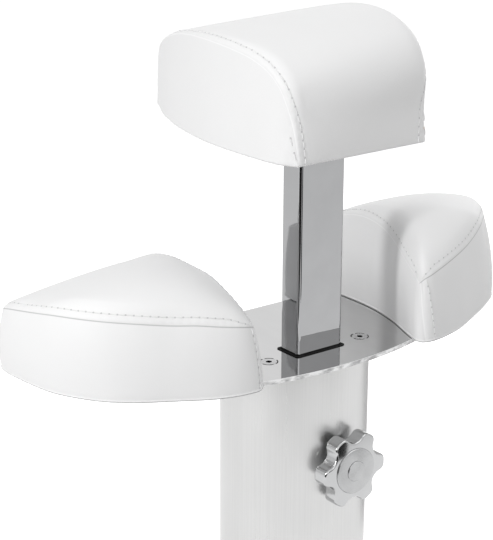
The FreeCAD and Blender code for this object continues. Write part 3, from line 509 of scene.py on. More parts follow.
class RowTree:
    """Geometry nodes that set one small thing after another along guide lines."""

    def __init__(self, name: str) -> None:
        """Builds the tree, with its spacing, its small thing and its finish as named inputs.

        Args:
            name: Name of the tree.
        """
        self.tree = bpy.data.node_groups.new(name, "GeometryNodeTree")
        self.tree.interface.new_socket("Guide", in_out="INPUT", socket_type="NodeSocketGeometry")
        self.spacing = self.named_input("Spacing", "Float")
        self.thing = self.named_input("Small thing", "Object")
        self.finish = self.named_input("Finish", "Material")
        self.tree.interface.new_socket("Row", in_out="OUTPUT", socket_type="NodeSocketGeometry")
        add = self.tree.nodes.new
        given, result = add("NodeGroupInput"), add("NodeGroupOutput")
        line = add("GeometryNodeMeshToCurve")
        marks = add("GeometryNodeResampleCurve")
        marks.mode = "LENGTH"
        thing = add("GeometryNodeObjectInfo")
        facing = add("GeometryNodeInputNamedAttribute")
        facing.data_type = "FLOAT_VECTOR"
        facing.inputs["Name"].default_value = "facing"
        along = add("GeometryNodeInputTangent")
        upright = add("FunctionNodeAlignRotationToVector")
        upright.axis = "Z"
        turned = add("FunctionNodeAlignRotationToVector")
        turned.axis = "X"
        turned.pivot_axis = "Z"
        placed = add("GeometryNodeInstanceOnPoints")
        solid = add("GeometryNodeRealizeInstances")
        dressed = add("GeometryNodeSetMaterial")
        links = (
            (given, "Guide", line, "Mesh"),
            (line, "Curve", marks, "Curve"),
            (given, "Spacing", marks, "Length"),
            (given, "Small thing", thing, "Object"),
            (facing, "Attribute", upright, "Vector"),
            (upright, "Rotation", turned, "Rotation"),
            (along, "Tangent", turned, "Vector"),
            (marks, "Curve", placed, "Points"),
            (thing, "Geometry", placed, "Instance"),
            (turned, "Rotation", placed, "Rotation"),
            (placed, "Instances", solid, "Geometry"),
            (solid, "Geometry", dressed, "Geometry"),
            (given, "Finish", dressed, "Material"),
            (dressed, "Geometry", result, "Row"),
        )
        for source, output, target, entry in links:
            self.tree.links.new(source.outputs[output], target.inputs[entry])

    def named_input(self, name: str, kind: str) -> str:
        """Adds a named input and returns the identifier that a modifier sets it by."""
        face = self.tree.interface
        return face.new_socket(name, in_out="INPUT", socket_type=f"NodeSocket{kind}").identifier

    def row(
        self,
        name: str,
        guide: bpy.types.Object,
        thing: bpy.types.Object,
        spacing: float,
        finish: bpy.types.Material,
    ) -> bpy.types.Object:
        """Makes a plain mesh of the row and removes the guide.

        Args:
            name: Name of the finished piece.
            guide: The mesh of guide lines.
            thing: The small thing, at the origin, with its length along X and its top up.
            spacing: Distance from one to the next, in millimetres.
            finish: Material of the row.

        Returns:
            The finished piece.
        """
        maker = guide.modifiers.new("row", "NODES")
        maker.node_group = self.tree
        maker[self.spacing] = spacing * MM
        maker[self.thing] = thing
        maker[self.finish] = finish
        bpy.context.view_layer.update()
        graph = bpy.context.evaluated_depsgraph_get()
        data = bpy.data.meshes.new_from_object(guide.evaluated_get(graph), depsgraph=graph)
        data.name = name
        guide.modifiers.remove(maker)
        bpy.data.objects.remove(guide)
        return add_piece(name, data)


def circle(sides: int) -> list[tuple[float, float]]:
    """Cosine and sine of even steps round a circle."""
    angles = [2 * math.pi * k / sides for k in range(sides)]
    return [(math.cos(angle), math.sin(angle)) for angle in angles]


def lathe_along_x(name: str, profile: Sequence[Row], sides: int) -> bpy.types.Object:
    """Makes a small closed form turned about a line along X that rises and falls.

    Args:
        name: Name of the mesh.
        profile: Rows of place along X, radius, and height of the middle line, in millimetres.
        sides: Number of faces round it.

    Returns:
        The object, kept out of the scene.
    """
    form = Form()
    turns = circle(sides)
    form.tube([[(x, r * c, height + r * s) for c, s in turns] for x, r, height in profile])
    return bpy.data.objects.new(name, form.mesh(name))


@dataclass(frozen=True)
class Stitch:
    """One stitch of thread that dives into the cover at both ends."""

    pitch: float = 7.2
    radius: float = 0.42
    hole: float = 0.72
    hole_depth: float = 0.12
    # Share of the hole's radius at its bottom
    hole_floor: float = 0.8
    # Shares of the half length at which the thread's bow is drawn
    bow: Row = (-1.0, -0.82, -0.4, 0.0, 0.4, 0.82, 1.0)

    def thread(self) -> bpy.types.Object:
        """Makes the stitch's thread, bowed over the cover from one hole to the next.

        Returns:
            The thread, kept out of the scene.
        """
        reach = self.pitch / 2 - self.hole * self.hole_floor
        profile = []
        for share in self.bow:
            sunk = self.radius * (0.35 - 1.1 * share**4)
            width = self.radius * (0.55 if abs(share) == 1.0 else 1.0)
            profile.append((share * reach, width, sunk))
        return lathe_along_x("stitch", profile, 7)

    def needle_hole(self) -> bpy.types.Object:
        """Makes the dimple at the needle hole that two stitches share, as a shallow disc painted with
        the hole's shade.

        Returns:
            The disc, kept out of the scene.
        """
        draft = bmesh.new()
        place = Matrix.Translation((self.pitch / 2 * MM, 0, self.hole_depth / 2 * MM))
        bmesh.ops.create_cone(
            draft,
            cap_ends=True,
            segments=10,
            radius1=self.hole * MM,
            radius2=self.hole * self.hole_floor * MM,
            depth=self.hole_depth * MM,
            matrix=place @ Matrix.Diagonal((1.3, 1.0, 1.0, 1.0)),
        )
        data = bpy.data.meshes.new("needle_hole")
        draft.to_mesh(data)
        draft.free()
        return bpy.data.objects.new("needle_hole", data)


@dataclass(frozen=True)
class Staple:
    """One staple that holds the hem on the board."""

    crown: float = 9.0
    wire: float = 0.45
    pitch: float = 17.0

    def wire_form(self) -> bpy.types.Object:
        """Makes the staple's crown, whose ends go into the board.

        Returns:
            The crown, kept out of the scene.
        """
        end, bend = self.crown / 2, self.crown / 2 * 0.94
        profile = [(-end, self.wire * 0.6, -0.5), (-bend, self.wire, 0.1), (0.0, self.wire, 0.25)]
        profile += [(bend, self.wire, 0.1), (end, self.wire * 0.6, -0.5)]
        return lathe_along_x("staple", profile, 6)


# Finishes


class Nodes:
    """A shader tree, with short calls to add nodes and to join them."""

    def __init__(self, tree: bpy.types.NodeTree) -> None:
        """Takes the tree that the nodes go into."""
        self.tree = tree

    def add(
        self, kind: str, settings: dict[str, object] | None = None, **sockets: object
    ) -> bpy.types.Node:
        """Adds a node.

        Args:
            kind: The node's type, without its "ShaderNode" start.
            settings: Properties of the node.
            **sockets: Input values or output sockets, by the input's name with _ for a space, or
                by i and the input's number.

        Returns:
            The node.
        """
        node = self.tree.nodes.new("ShaderNode" + kind)
        for key, value in (settings or {}).items():
            setattr(node, key, value)
        for key, value in sockets.items():
            numbered = key[0] == "i" and key[1:].isdigit()
            self.give(node, int(key[1:]) if numbered else key.replace("_", " "), value)
        return node

    def give(self, node: bpy.types.Node, entry: str | int, value: object) -> None:
        """Sets or joins one input of a node.

        Args:
            node: The node.
            entry: The input's name or number.
            value: A plain value, or the output socket that it comes from.
        """
        if isinstance(value, Socket):
            self.tree.links.new(value, node.inputs[entry])
        else:
            node.inputs[entry].default_value = value

    def math(self, operation: str, *values: object) -> Socket:
        """Adds one step of arithmetic and returns its result."""
        sockets = {f"i{k}": value for k, value in enumerate(values)}
        return self.add("Math", {"operation": operation}, **sockets).outputs[0]

    def spread(
        self, value: Socket, low: float, high: float, start: float = 0.3, end: float = 0.7
    ) -> Socket:
        """Maps a value from one span to another, and holds it at the span's ends.

        Args:
            value: The value.
            low: Result at the start and before it.
            high: Result at the end and past it.
            start: Value that gives the low result.
            end: Value that gives the high result.

        Returns:
            The result.
        """
        sockets = {"Value": value, "From_Min": start, "From_Max": end, "To_Min": low, "To_Max": high}
        return self.add("MapRange", {"clamp": True}, **sockets).outputs["Result"]


class Recipe(Nodes):
    """A material's nodes round one principled shader."""

    def __init__(self, name: str) -> None:
        """Starts the material.

        Args:
            name: Name of the material.
        """
        self.material = bpy.data.materials.new(name)
        self.material.use_nodes = True
        super().__init__(self.material.node_tree)
        self.shader = self.tree.nodes["Principled BSDF"]

    def places(self, stretch: Row = (1.0, 1.0, 1.0)) -> Socket:
        """Object coordinates, stretched along the axes."""
        source = self.add("TexCoord").outputs["Object"]
        return self.add("Mapping", Vector=source, Scale=stretch).outputs["Vector"]

    def noise(self, scale: float, detail: float = 3.0, stretch: Row = (1.0, 1.0, 1.0)) -> Socket:
        """Cloudy noise with so many waves to the metre."""
        places = self.places(stretch)
        return self.add("TexNoise", Vector=places, Scale=scale, Detail=detail).outputs["Fac"]

    def tint(self, value: Socket, low: Colour | Socket, high: Colour | Socket) -> Socket:
        """Mixes two colours, plain or from sockets, by a value and returns the colour."""
        ends = [end if isinstance(end, Socket) else (*end, 1.0) for end in (low, high)]
        return self.add("Mix", {"data_type": "RGBA"}, i0=value, i6=ends[0], i7=ends[1]).outputs[2]

    def clouded(self, value: Socket, colour: Colour, low: float, high: float = 1.0) -> Socket:
        """A colour whose shade follows a value, from a low share of it to a high one."""
        return self.tint(self.spread(value, 0.0, 1.0), shade(colour, low), shade(colour, high))

    def blend(self, first: Socket, second: Socket, share: float) -> Socket:
        """The sum of a share of the first value and the rest of the second."""
        rest = self.math("MULTIPLY", second, 1.0 - share)
        return self.math("ADD", self.math("MULTIPLY", first, share), rest)

    def below(self, level: float, full: float, none: float) -> Socket:
        """Tells how far a place lies under a level, with a soft edge.

        Args:
            level: The level, in metres.
            full: Depth under it from which the result is 1, in millimetres.
            none: Depth under it up to which the result is 0.

        Returns:
            The result.
        """
        height = self.add("SeparateXYZ", Vector=self.places()).outputs["Z"]
        return self.spread(height, 1.0, 0.0, level - full * MM, level - none * MM)

    def tangent(self, axis: str) -> Socket:
        """The direction round an axis, across which the metal's fine lines spread a reflection."""
        return self.add("Tangent", {"direction_type": "RADIAL", "axis": axis}).outputs["Tangent"]

    def stored(self, label: str) -> Socket:
        """A number that the mesh stores at its corners."""
        return self.add("Attribute", {"attribute_name": label}).outputs["Fac"]

    def bump(
        self, height: Socket, depth: float, strength: float = 1.0, under: Socket | None = None
    ) -> Socket:
        """Adds relief.

        Args:
            height: The relief, from 0 to 1.
            depth: How deep it is, in millimetres.
            strength: Share of the relief that is used.
            under: A normal that it lies on.

        Returns:
            The relief's normal.
        """
        node = self.add("Bump", Height=height, Distance=depth * MM, Strength=strength)
        if under is not None:
            self.give(node, "Normal", under)
        return node.outputs["Normal"]

    def dome(self, radius: float, under: Socket) -> Socket:
        """Makes a flat face look as if it swells round the knob's axis.

        Args:
            radius: Radius of the swelling's ball, in millimetres.
            under: The normal that it lies on.

        Returns:
            The swelling's normal.
        """
        spot = self.add("SeparateXYZ", Vector=self.places())
        side = spot.outputs["X"]
        rise = self.math("SUBTRACT", spot.outputs["Z"], KNOB_HEIGHT)
        squares = self.math("ADD", self.math("MULTIPLY", side, side), self.math("MULTIPLY", rise, rise))
        drop = self.math("DIVIDE", squares, -2.0 * radius * MM)
        return self.bump(drop, METRE, under=under)

    def wire(self, **sockets: object) -> bpy.types.Material:
        """Sets or joins the shader's own inputs.

        Args:
            **sockets: Values or output sockets, by the input's name with _ for a space.

        Returns:
            The finished material.
        """
        for key, value in sockets.items():
            self.give(self.shader, key.replace("_", " "), value)
        return self.material


def shade(colour: Colour, share: float) -> Colour:
    """A colour made lighter or darker."""
    return tuple(min(1.0, value * share) for value in colour)


@dataclass(frozen=True)
class Leatherette:
    """Soft white coated upholstery cloth with a fine grain, puckered along its seams, with painted
    shade in the seams, painted highlights on their ridges and along the join, and painted shade under a
    hem roll where asked.
    """

    name: str
    colour: Colour = (0.85, 0.85, 0.852)
    grain: float = 1.1
    pitch: float = 7.2
    seamed: bool = True
    underside_painted_dark: bool = False
    # Each pair is where an effect beside a seam or the join starts to die away, and where it is gone
    pull_ends: Row = (4.0, 11.0)
    seam_ends: Row = (0.15, 0.65)
    join_ends: Row = (0.2, 0.8)
    ridge_ends: Row = (0.2, 2.2)
    # Shares of the colour for the painted shade in a seam and for the painted highlight on a ridge and
    # along the join
    painted_seam_shade: float = 0.62
    painted_ridge_highlight: float = 1.08
    # Share of the colour for the painted shade on the underside of a hem roll
    painted_underside_shade: float = 0.06

    def make(self) -> bpy.types.Material:
        """Builds the material.

        Returns:
            The material.
        """
        recipe = Recipe(self.name)
        cells = recipe.add(
            "TexVoronoi",
            {"feature": "SMOOTH_F1"},
            Vector=recipe.places(),
            Scale=1.0 / (self.grain * MM),
        ).outputs["Distance"]
        colour = recipe.clouded(recipe.noise(14.0), self.colour, 0.985)
        normal = recipe.bump(recipe.noise(46.0, 2.0), 0.5, 0.35)
        normal = recipe.bump(cells, 0.12, 0.5, normal)
        normal = recipe.bump(recipe.noise(2600.0, 2.0), 0.05, 0.4, normal)
        if self.seamed:
            colour, normal = self.puckers(recipe, colour, normal)
        # Painted shade on the underside of the hem roll, where it meets the plate
        if self.underside_painted_dark:
            below = recipe.spread(recipe.stored("underside"), 0.0, 1.0, 0.1, 0.6)
            colour = recipe.tint(below, colour, shade(self.colour, self.painted_underside_shade))
        return recipe.wire(
            Base_Color=colour,
            Roughness=recipe.spread(recipe.noise(220.0), 0.46, 0.56),
            Normal=normal,
            Specular_IOR_Level=0.4,
            Sheen_Weight=0.06,
            Sheen_Roughness=0.4,
        )

    def puckers(self, recipe: Recipe, colour: Socket, normal: Socket) -> tuple[Socket, Socket]:
        """Adds the pull of the stitches, painted shade at the bottom of the seams, and painted
        highlights on their ridges and along the join.

        Args:
            recipe: The material's nodes.
            colour: The colour so far.
            normal: The relief so far.

        Returns:
            The new colour and relief.
        """
        gap, run, join = (recipe.stored(label) for label in ("seam_gap", "seam_run", "join_gap"))
        near = recipe.math("ABSOLUTE", gap)
        beside = recipe.math("ABSOLUTE", join)
        wave = recipe.math("SINE", recipe.math("MULTIPLY", run, 2 * math.pi / (self.pitch * MM)))
        reach = recipe.spread(near, 1.0, 0.0, *self.metres(self.pull_ends))
        panel = recipe.spread(gap, 0.25, 1.0, -0.5 * MM, 0.5 * MM)
        pull = recipe.math("MULTIPLY", reach, panel)
        normal = recipe.bump(recipe.math("MULTIPLY", wave, pull), 0.15, 0.5, normal)
        ridge = recipe.spread(beside, 0.0, 1.0, *self.metres(self.ridge_ends))
        normal = recipe.bump(ridge, 0.5, 0.7, normal)
        # The sign of the run picks a painted pale highlight or painted dark shade at the seam; near the
        # join the colour is painted with the same highlight
        highlight_side = recipe.spread(run, 1.0, 0.0, -1.0 * MM, 1.0 * MM)
        pale = shade(self.colour, self.painted_ridge_highlight)
        seam = recipe.tint(highlight_side, shade(self.colour, self.painted_seam_shade), pale)
        sewn = recipe.spread(near, 0.0, 1.0, *self.metres(self.seam_ends))
        joined = recipe.spread(beside, 0.0, 1.0, *self.metres(self.join_ends))
        return recipe.tint(joined, pale, recipe.tint(sewn, seam, colour)), normal

    @staticmethod
    def metres(ends: Row) -> Row:
        """The same distances in metres."""
        return tuple(end * MM for end in ends)


@dataclass(frozen=True)
class BrushedSteel:
    """Stainless steel brushed in one direction."""

    name: str
    colour: Colour = (0.57, 0.57, 0.568)
    across: float = 1100.0
    rough: float = 0.32
    drawn: float = 0.6
    lengthwise: Row = (1.0, 1.0, 0.0067)

    def make(self) -> bpy.types.Material:
        """Builds the material.

        Returns:
            The material.
        """
        recipe = Recipe(self.name)
        streaks = recipe.noise(self.across, 4.0, self.lengthwise)
        broad = recipe.noise(self.across / 9, 3.0, self.lengthwise)
        both = recipe.blend(streaks, broad, 0.75)
        smear = recipe.spread(recipe.noise(18.0), -0.03, 0.03)
        rough = recipe.spread(both, self.rough - 0.05, self.rough + 0.05)
        return recipe.wire(
            Base_Color=recipe.clouded(both, self.colour, 0.93, 1.03),
            Roughness=recipe.math("ADD", rough, smear),
            Normal=recipe.bump(streaks, 0.02, 0.4),
            Metallic=1.0,
            Anisotropic=self.drawn,
            Tangent=recipe.tangent("Z"),
        )


@dataclass(frozen=True)
class PolishedMetal:
    """Polished or plated metal with faint wipe marks, and a cut edge painted with dark streaks of
    reflection where it has one.
    """

    name: str
    colour: Colour
    rough: float
    haze: float = 0.03
    ripple: float = 0.02
    # Height of the polished face over the cut edge, in metres; the edge below it gets painted
    # reflection streaks
    reflection_painted_below: float | None = None
    # Radius of the ball that a domed face seems to belong to
    swell: float | None = None

    def make(self) -> bpy.types.Material:
        """Builds the material.

        Returns:
            The material.
        """
        recipe = Recipe(self.name)
        smear = recipe.noise(60.0, 4.0, (1.0, 0.25, 1.0))
        marks = recipe.noise(1400.0, 2.0, (0.05, 1.0, 1.0))
        colour = recipe.clouded(smear, self.colour, 0.96)
        if self.reflection_painted_below is not None:
            # Painted reflection: dark and light streaks on the cut edge
            streaks = recipe.spread(recipe.noise(120.0, 4.0, (1.0, 1.0, 2.0)), 0.0, 1.0, 0.36, 0.6)
            cut = recipe.tint(streaks, shade(self.colour, 0.5), self.colour)
            colour = recipe.tint(recipe.below(self.reflection_painted_below, 0.4, 0.2), colour, cut)
        normal = recipe.bump(recipe.noise(35.0, 1.0), self.ripple * 10, 0.05)
        normal = recipe.bump(marks, self.ripple, 0.15, normal)
        if self.swell is not None:
            normal = recipe.dome(self.swell, normal)
        rough = recipe.spread(smear, self.rough, self.rough + self.haze)
        return recipe.wire(Base_Color=colour, Roughness=rough, Normal=normal, Metallic=1.0)


@dataclass(frozen=True)
class SpunMetal:
    """Plated metal turned on a lathe, whose rings spread each reflection along a ray."""

    name: str
    colour: Colour
    rough: float = 0.24
    drawn: float = 0.85
    swell: float = 130.0

    def make(self) -> bpy.types.Material:
        """Builds the material.

        Returns:
            The material.
        """
        recipe = Recipe(self.name)
        mottle = recipe.noise(900.0, 4.0)
        return recipe.wire(
            Base_Color=recipe.clouded(recipe.noise(70.0), self.colour, 0.88),
            Roughness=recipe.spread(mottle, self.rough - 0.05, self.rough + 0.05),
            Normal=recipe.dome(self.swell, recipe.bump(mottle, 0.02, 0.4)),
            Metallic=1.0,
            Anisotropic=self.drawn,
            Tangent=recipe.tangent("Y"),
        )


@dataclass(frozen=True)
class MachinedSteel:
    """Plain or zinc plated steel with a mottled skin, and painted shade inside a socket where it has
    one.
    """

    name: str
    colour: Colour
    rough: float = 0.38
    # Height of the face that the socket is sunk into, in metres, under which the socket is painted with
    # shade
    painted_shade_below: float | None = None

    def make(self) -> bpy.types.Material:
        """Builds the material.

        Returns:
            The material.
        """
        recipe = Recipe(self.name)
        mottle = recipe.noise(420.0, 5.0)
        colour = recipe.clouded(recipe.noise(40.0), self.colour, 0.82)
        if self.painted_shade_below is not None:
            # Painted shade inside the socket, darkest deepest down
            depth = recipe.below(self.painted_shade_below, 1.2, 0.5)
            colour = recipe.tint(depth, colour, shade(self.colour, 0.1))
        return recipe.wire(
            Base_Color=colour,
            Roughness=recipe.spread(mottle, self.rough - 0.08, self.rough + 0.1),
            Normal=recipe.bump(mottle, 0.04, 0.4),
            Metallic=1.0,
        )


@dataclass(frozen=True)
class MouldedPlastic:
    """Moulded plastic or rubber with a fine spark-eroded texture."""

    name: str
    colour: Colour
    rough: float = 0.5
    texture: float = 0.05
    shine: float = 0.5

    def make(self) -> bpy.types.Material:
        """Builds the material.

        Returns:
            The material.
        """
        recipe = Recipe(self.name)
        dust = recipe.noise(70.0)
        return recipe.wire(
            Base_Color=recipe.clouded(dust, self.colour, 1.0, 1.25),
            Roughness=recipe.spread(dust, self.rough, self.rough + 0.12),
            Normal=recipe.bump(recipe.noise(1800.0, 3.0), self.texture, 0.6),
            Specular_IOR_Level=self.shine,
        )


@dataclass(frozen=True)
class Plywood:
    """Sanded plywood: grain on its faces and plies on its edges."""

    name: str
    light: Colour = (0.62, 0.45, 0.28)
    dark: Colour = (0.42, 0.27, 0.15)

    def make(self) -> bpy.types.Material:
        """Builds the material.

        Returns:
            The material.
        """
        recipe = Recipe(self.name)
        grain = recipe.noise(160.0, 5.0, (0.08, 1.0, 1.0))
        plies = recipe.add(
            "TexWave",
            {"bands_direction": "Z"},
            Vector=recipe.places(),
            Scale=70.0,
            Distortion=0.3,
        ).outputs["Fac"]
        both = recipe.spread(recipe.blend(grain, plies, 0.6), 0.0, 1.0)
        colour = recipe.tint(both, self.dark, self.light)
        return recipe.wire(Base_Color=colour, Roughness=0.7, Normal=recipe.bump(grain, 0.15, 0.5))


@dataclass(frozen=True)
class SoftCloth:
    """Pressed cloth, foam or thread: a matt fibrous skin."""

    name: str
    colour: Colour
    fibre: float = 900.0
    relief: float = 0.12

    def make(self) -> bpy.types.Material:
        """Builds the material.

        Returns:
            The material.
        """
        recipe = Recipe(self.name)
        fibres = recipe.noise(self.fibre, 6.0, (1.0, 0.4, 1.0))
        return recipe.wire(
            Base_Color=recipe.clouded(recipe.noise(50.0), self.colour, 0.9),
            Roughness=0.85,
            Normal=recipe.bump(fibres, self.relief, 0.7),
            Sheen_Weight=0.1,
        )


class Finishes:
    """Every finish of the column, made once and found by the record's slot or by the node."""

    def __init__(self) -> None:
        """Makes the finishes."""
        shelf = {
            "white_upholstery": Leatherette("white_leatherette"),
            "foam": SoftCloth("cut_foam", (0.80, 0.74, 0.52), 600.0, 0.4),
            "plywood": Plywood("sanded_plywood"),
            "dust_cloth": SoftCloth("black_dust_cloth", (0.018, 0.018, 0.02), 1300.0),
            "chrome": PolishedMetal("post_chrome", (0.36, 0.362, 0.368), 0.02, 0.02),
            "knob_chrome": PolishedMetal(
                "knob_chrome", (0.46, 0.463, 0.467), 0.08, 0.06, 0.05, swell=130.0
            ),
            "polished_steel": PolishedMetal(
                "mirror_plate_steel", (0.60, 0.60, 0.602), 0.04, reflection_painted_below=PLATE_TOP
            ),
            "brushed_steel": BrushedSteel("column_brushed_steel"),
            "bare_steel": MachinedSteel("machined_steel", (0.42, 0.42, 0.43)),
            "zinc_steel": MachinedSteel("zinc_plated_steel", (0.60, 0.61, 0.63), 0.28),
            "black_rubber": MouldedPlastic("black_rubber", (0.008, 0.008, 0.008), 0.62, shine=0.15),
            "black_plastic": MouldedPlastic("black_plastic", (0.02, 0.02, 0.021), 0.4),
            "glide_plastic": MouldedPlastic("natural_glide_plastic", (0.72, 0.71, 0.67), 0.35),
        }
        self.by_slot = {slot: finish.make() for slot, finish in shelf.items()}
        spun = SpunMetal("spun_knob_chrome", (0.44, 0.443, 0.447)).make()
        # The plate screws' finish, with painted shade in their sockets
        sockets = MachinedSteel(
            "zinc_socket_steel", (0.60, 0.60, 0.605), 0.28, painted_shade_below=PLATE_TOP
        ).make()
        self.by_node = {"knob_face_disc": spun, "knob_button": spun, "plate_screws": sockets}
        self.thread = SoftCloth("white_thread", (0.86, 0.86, 0.86), 3000.0, 0.05).make()
        # Painted shade for the needle holes
        self.hole = SoftCloth("needle_hole_shade", (0.64, 0.64, 0.645), 3000.0, 0.02).make()
        # The hem roll's finish, painted with shade on its underside
        self.hem = Leatherette("white_hem_leatherette", seamed=False, underside_painted_dark=True).make()

    def dress_nodes(self) -> int:
        """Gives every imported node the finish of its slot, or its own.

        Returns:
            How many nodes there are.
        """
        subparts = frame["record"]["subparts"]
        for subpart in subparts:
            node = frame["nodes"][subpart["node"]]
            finish = self.by_node.get(subpart["node"], self.by_slot[subpart["material_slot"]])
            node.data.materials.clear()
            node.data.materials.append(finish)
        return len(subparts)


# Pads

# Distances from a seam, a pad's corner and the base at which a cover has rows of corners. The
# fourth beside a seam is the stitch line, and the hem's go on from the last one there.
NEAR_SEAM = (0.9, 2.4, 4.4, 6.5, 8.2, 10.4)
HEM = (13.0, 16.2, 16.9)
EDGE = (*NEAR_SEAM, *HEM)
NEAR_CORNER = (*NEAR_SEAM, 13.0, 16.0, 19.0, 22.0)
NEAR_TOP = NEAR_SEAM[:5]
NEAR_BASE = (1.4, 2.7, 4.0, 7.0)
# Rows in the middle of a wall
WALL_INNER = 9
# Rows that the stitches and the staples follow, and how far both stand off the cover
STITCH_ROW = 4
STITCH_LIFT = 0.25
STAPLE_ROW = len(NEAR_SEAM)
STAPLE_LIFT = 0.1
# The underside is higher by this much inside the hem
HEM_STEP = 1.8
# A wall is drawn in by this much just above its hem roll, whose middle lies inside the wall by this
# share of its radius
HEM_PINCH = 0.4
HEM_INSET = 0.7
# The board holds this many of a wall's lowest corners
HELD_LOW = 4
# A row shorter than this has all its corners in one place
NO_LENGTH = 0.01
# Relief of a top-stitched seam: the allowance raises the top panel beside its seam
TOP_RELIEF = (-0.1, 0.2, 0.3, 0.2, -0.35, 0.0)
WALL_RELIEF = -0.05

# Seams of the leg pads from the inner front corner to the back: sideways, behind the post
# axis and above the plate, the shoulder's rise, the crown, and sideways and behind at the base
RIGHT_INNER = (
    (1.5, -46.5, 54.5, 0.5, 0.0, 0.3, -47.5),
    (1.5, -42.5, 57.5, 5.5, 2.0, 0.6, -43.5),
    (2.5, -39.0, 60.2, 9.1, 4.5, 2.2, -39.5),
    (4.6, -31.5, 63.3, 13.7, 7.0, 4.6, -31.5),
    (11.6, -13.0, 69.5, 17.0, 8.5, 11.5, -13.0),
    (17.4, 2.0, 74.8, 17.2, 9.0, 17.0, 2.0),
    (24.0, 24.0, 81.4, 14.6, 9.0, 23.0, 24.0),
    (28.7, 45.0, 84.2, 11.3, 9.0, 26.7, 45.0),
    (30.5, 64.0, 84.8, 7.7, 9.0, 28.0, 64.0),
    (31.0, 85.0, 81.5, 4.5, 8.0, 28.0, 85.0),
    (31.0, 107.0, 74.5, 3.0, 6.5, 28.0, 107.0),
    (34.0, 121.0, 67.5, 2.5, 5.0, 31.0, 121.5),
    (40.0, 125.2, 63.0, 1.5, 3.0, 37.5, 127.0),
)
RIGHT_OUTER = (
    (1.5, -46.5, 54.5, 0.5, 0.0, 0.3, -47.5),
    (3.5, -51.0, 59.4, 0.8, 0.0, 2.4, -52.4),
    (8.0, -52.3, 61.4, 1.1, 0.0, 8.0, -54.9),
    (17.9, -51.0, 63.8, 2.5, 0.0, 21.0, -54.9),
    (33.0, -48.4, 67.7, 3.9, 0.0, 35.5, -52.2),
    (50.6, -43.3, 71.2, 6.3, 0.0, 53.0, -47.0),
    (71.3, -35.5, 75.5, 8.5, 0.0, 73.5, -37.8),
    (89.3, -27.4, 81.0, 8.0, 0.0, 91.5, -28.8),
    (103.0, -19.0, 84.0, 8.2, 0.0, 108.0, -20.5),
    (114.5, -9.0, 83.5, 8.8, 0.0, 124.5, -11.0),
    (130.0, 4.5, 82.0, 9.5, 0.0, 143.5, 2.0),
    (145.5, 24.0, 80.5, 10.0, 0.0, 158.0, 24.0),
    (152.0, 45.0, 78.0, 10.0, 0.0, 164.0, 45.0),
    (155.5, 64.0, 76.0, 6.0, 0.0, 165.7, 64.0),
    (157.5, 85.0, 71.0, 5.0, 0.0, 165.7, 85.0),
    (157.0, 106.0, 64.5, 4.0, 0.0, 163.5, 107.0),
    (152.5, 120.0, 57.5, 3.0, 0.0, 157.2, 121.3),
    (146.0, 125.2, 53.0, 2.0, 0.0, 149.5, 127.0),
)
LEFT_INNER = (
    (17.5, -51.5, 57.0, 0.5, 0.0, 5.0, -49.3),
    (17.0, -46.5, 59.5, 1.5, 1.5, 2.6, -46.0),
    (16.5, -39.5, 63.2, 2.5, 4.0, 0.5, -39.5),
    (16.6, -31.5, 67.5, 3.0, 6.5, 3.4, -31.5),
    (17.5, -13.0, 77.0, 3.5, 9.0, 11.3, -13.0),
    (19.0, 2.0, 84.0, 3.5, 9.0, 17.0, 2.0),
    (24.0, 24.0, 90.0, 3.5, 7.0, 23.0, 24.0),
    (27.7, 45.0, 93.5, 3.0, 5.0, 26.7, 45.0),
    (29.0, 64.0, 92.0, 2.5, 4.0, 28.0, 64.0),
    (30.0, 85.0, 84.5, 2.0, 2.5, 28.0, 85.0),
    (31.0, 107.0, 74.0, 2.0, 2.0, 28.0, 107.0),
    (34.0, 121.0, 68.0, 2.0, 1.5, 31.0, 121.5),
    (40.5, 125.2, 63.0, 1.5, 1.0, 37.5, 127.0),
)
LEFT_OUTER = (
    (17.5, -51.5, 57.0, 0.5, 0.0, 5.0, -49.3),
    (22.5, -52.4, 58.1, 0.7, 0.0, 12.5, -54.8),
    (30.0, -52.2, 59.6, 0.8, 0.0, 27.0, -55.0),
    (38.0, -50.2, 60.8, 1.3, 0.0, 39.0, -52.6),
    (51.0, -45.0, 62.5, 2.6, 0.0, 54.5, -47.0),
    (65.0, -37.7, 64.4, 5.1, 0.0, 68.5, -39.4),
    (79.0, -29.5, 64.9, 8.4, 0.0, 82.3, -31.2),
    (108.5, -11.3, 67.7, 11.0, 0.0, 111.7, -12.8),
    (125.5, 4.0, 68.6, 12.4, 0.0, 128.7, 2.2),
    (140.5, 24.5, 68.7, 12.3, 0.0, 143.7, 24.0),
    (150.0, 45.0, 67.8, 9.7, 0.0, 153.2, 45.0),
    (154.2, 64.0, 65.1, 7.4, 0.0, 157.0, 64.0),
    (156.5, 85.0, 61.6, 6.4, 0.0, 159.3, 85.0),
    (157.6, 106.0, 57.8, 5.0, 0.0, 160.3, 107.0),
    (154.8, 120.0, 53.6, 3.6, 0.0, 157.8, 121.3),
    (148.5, 125.2, 50.5, 2.4, 0.0, 151.8, 127.0),
)


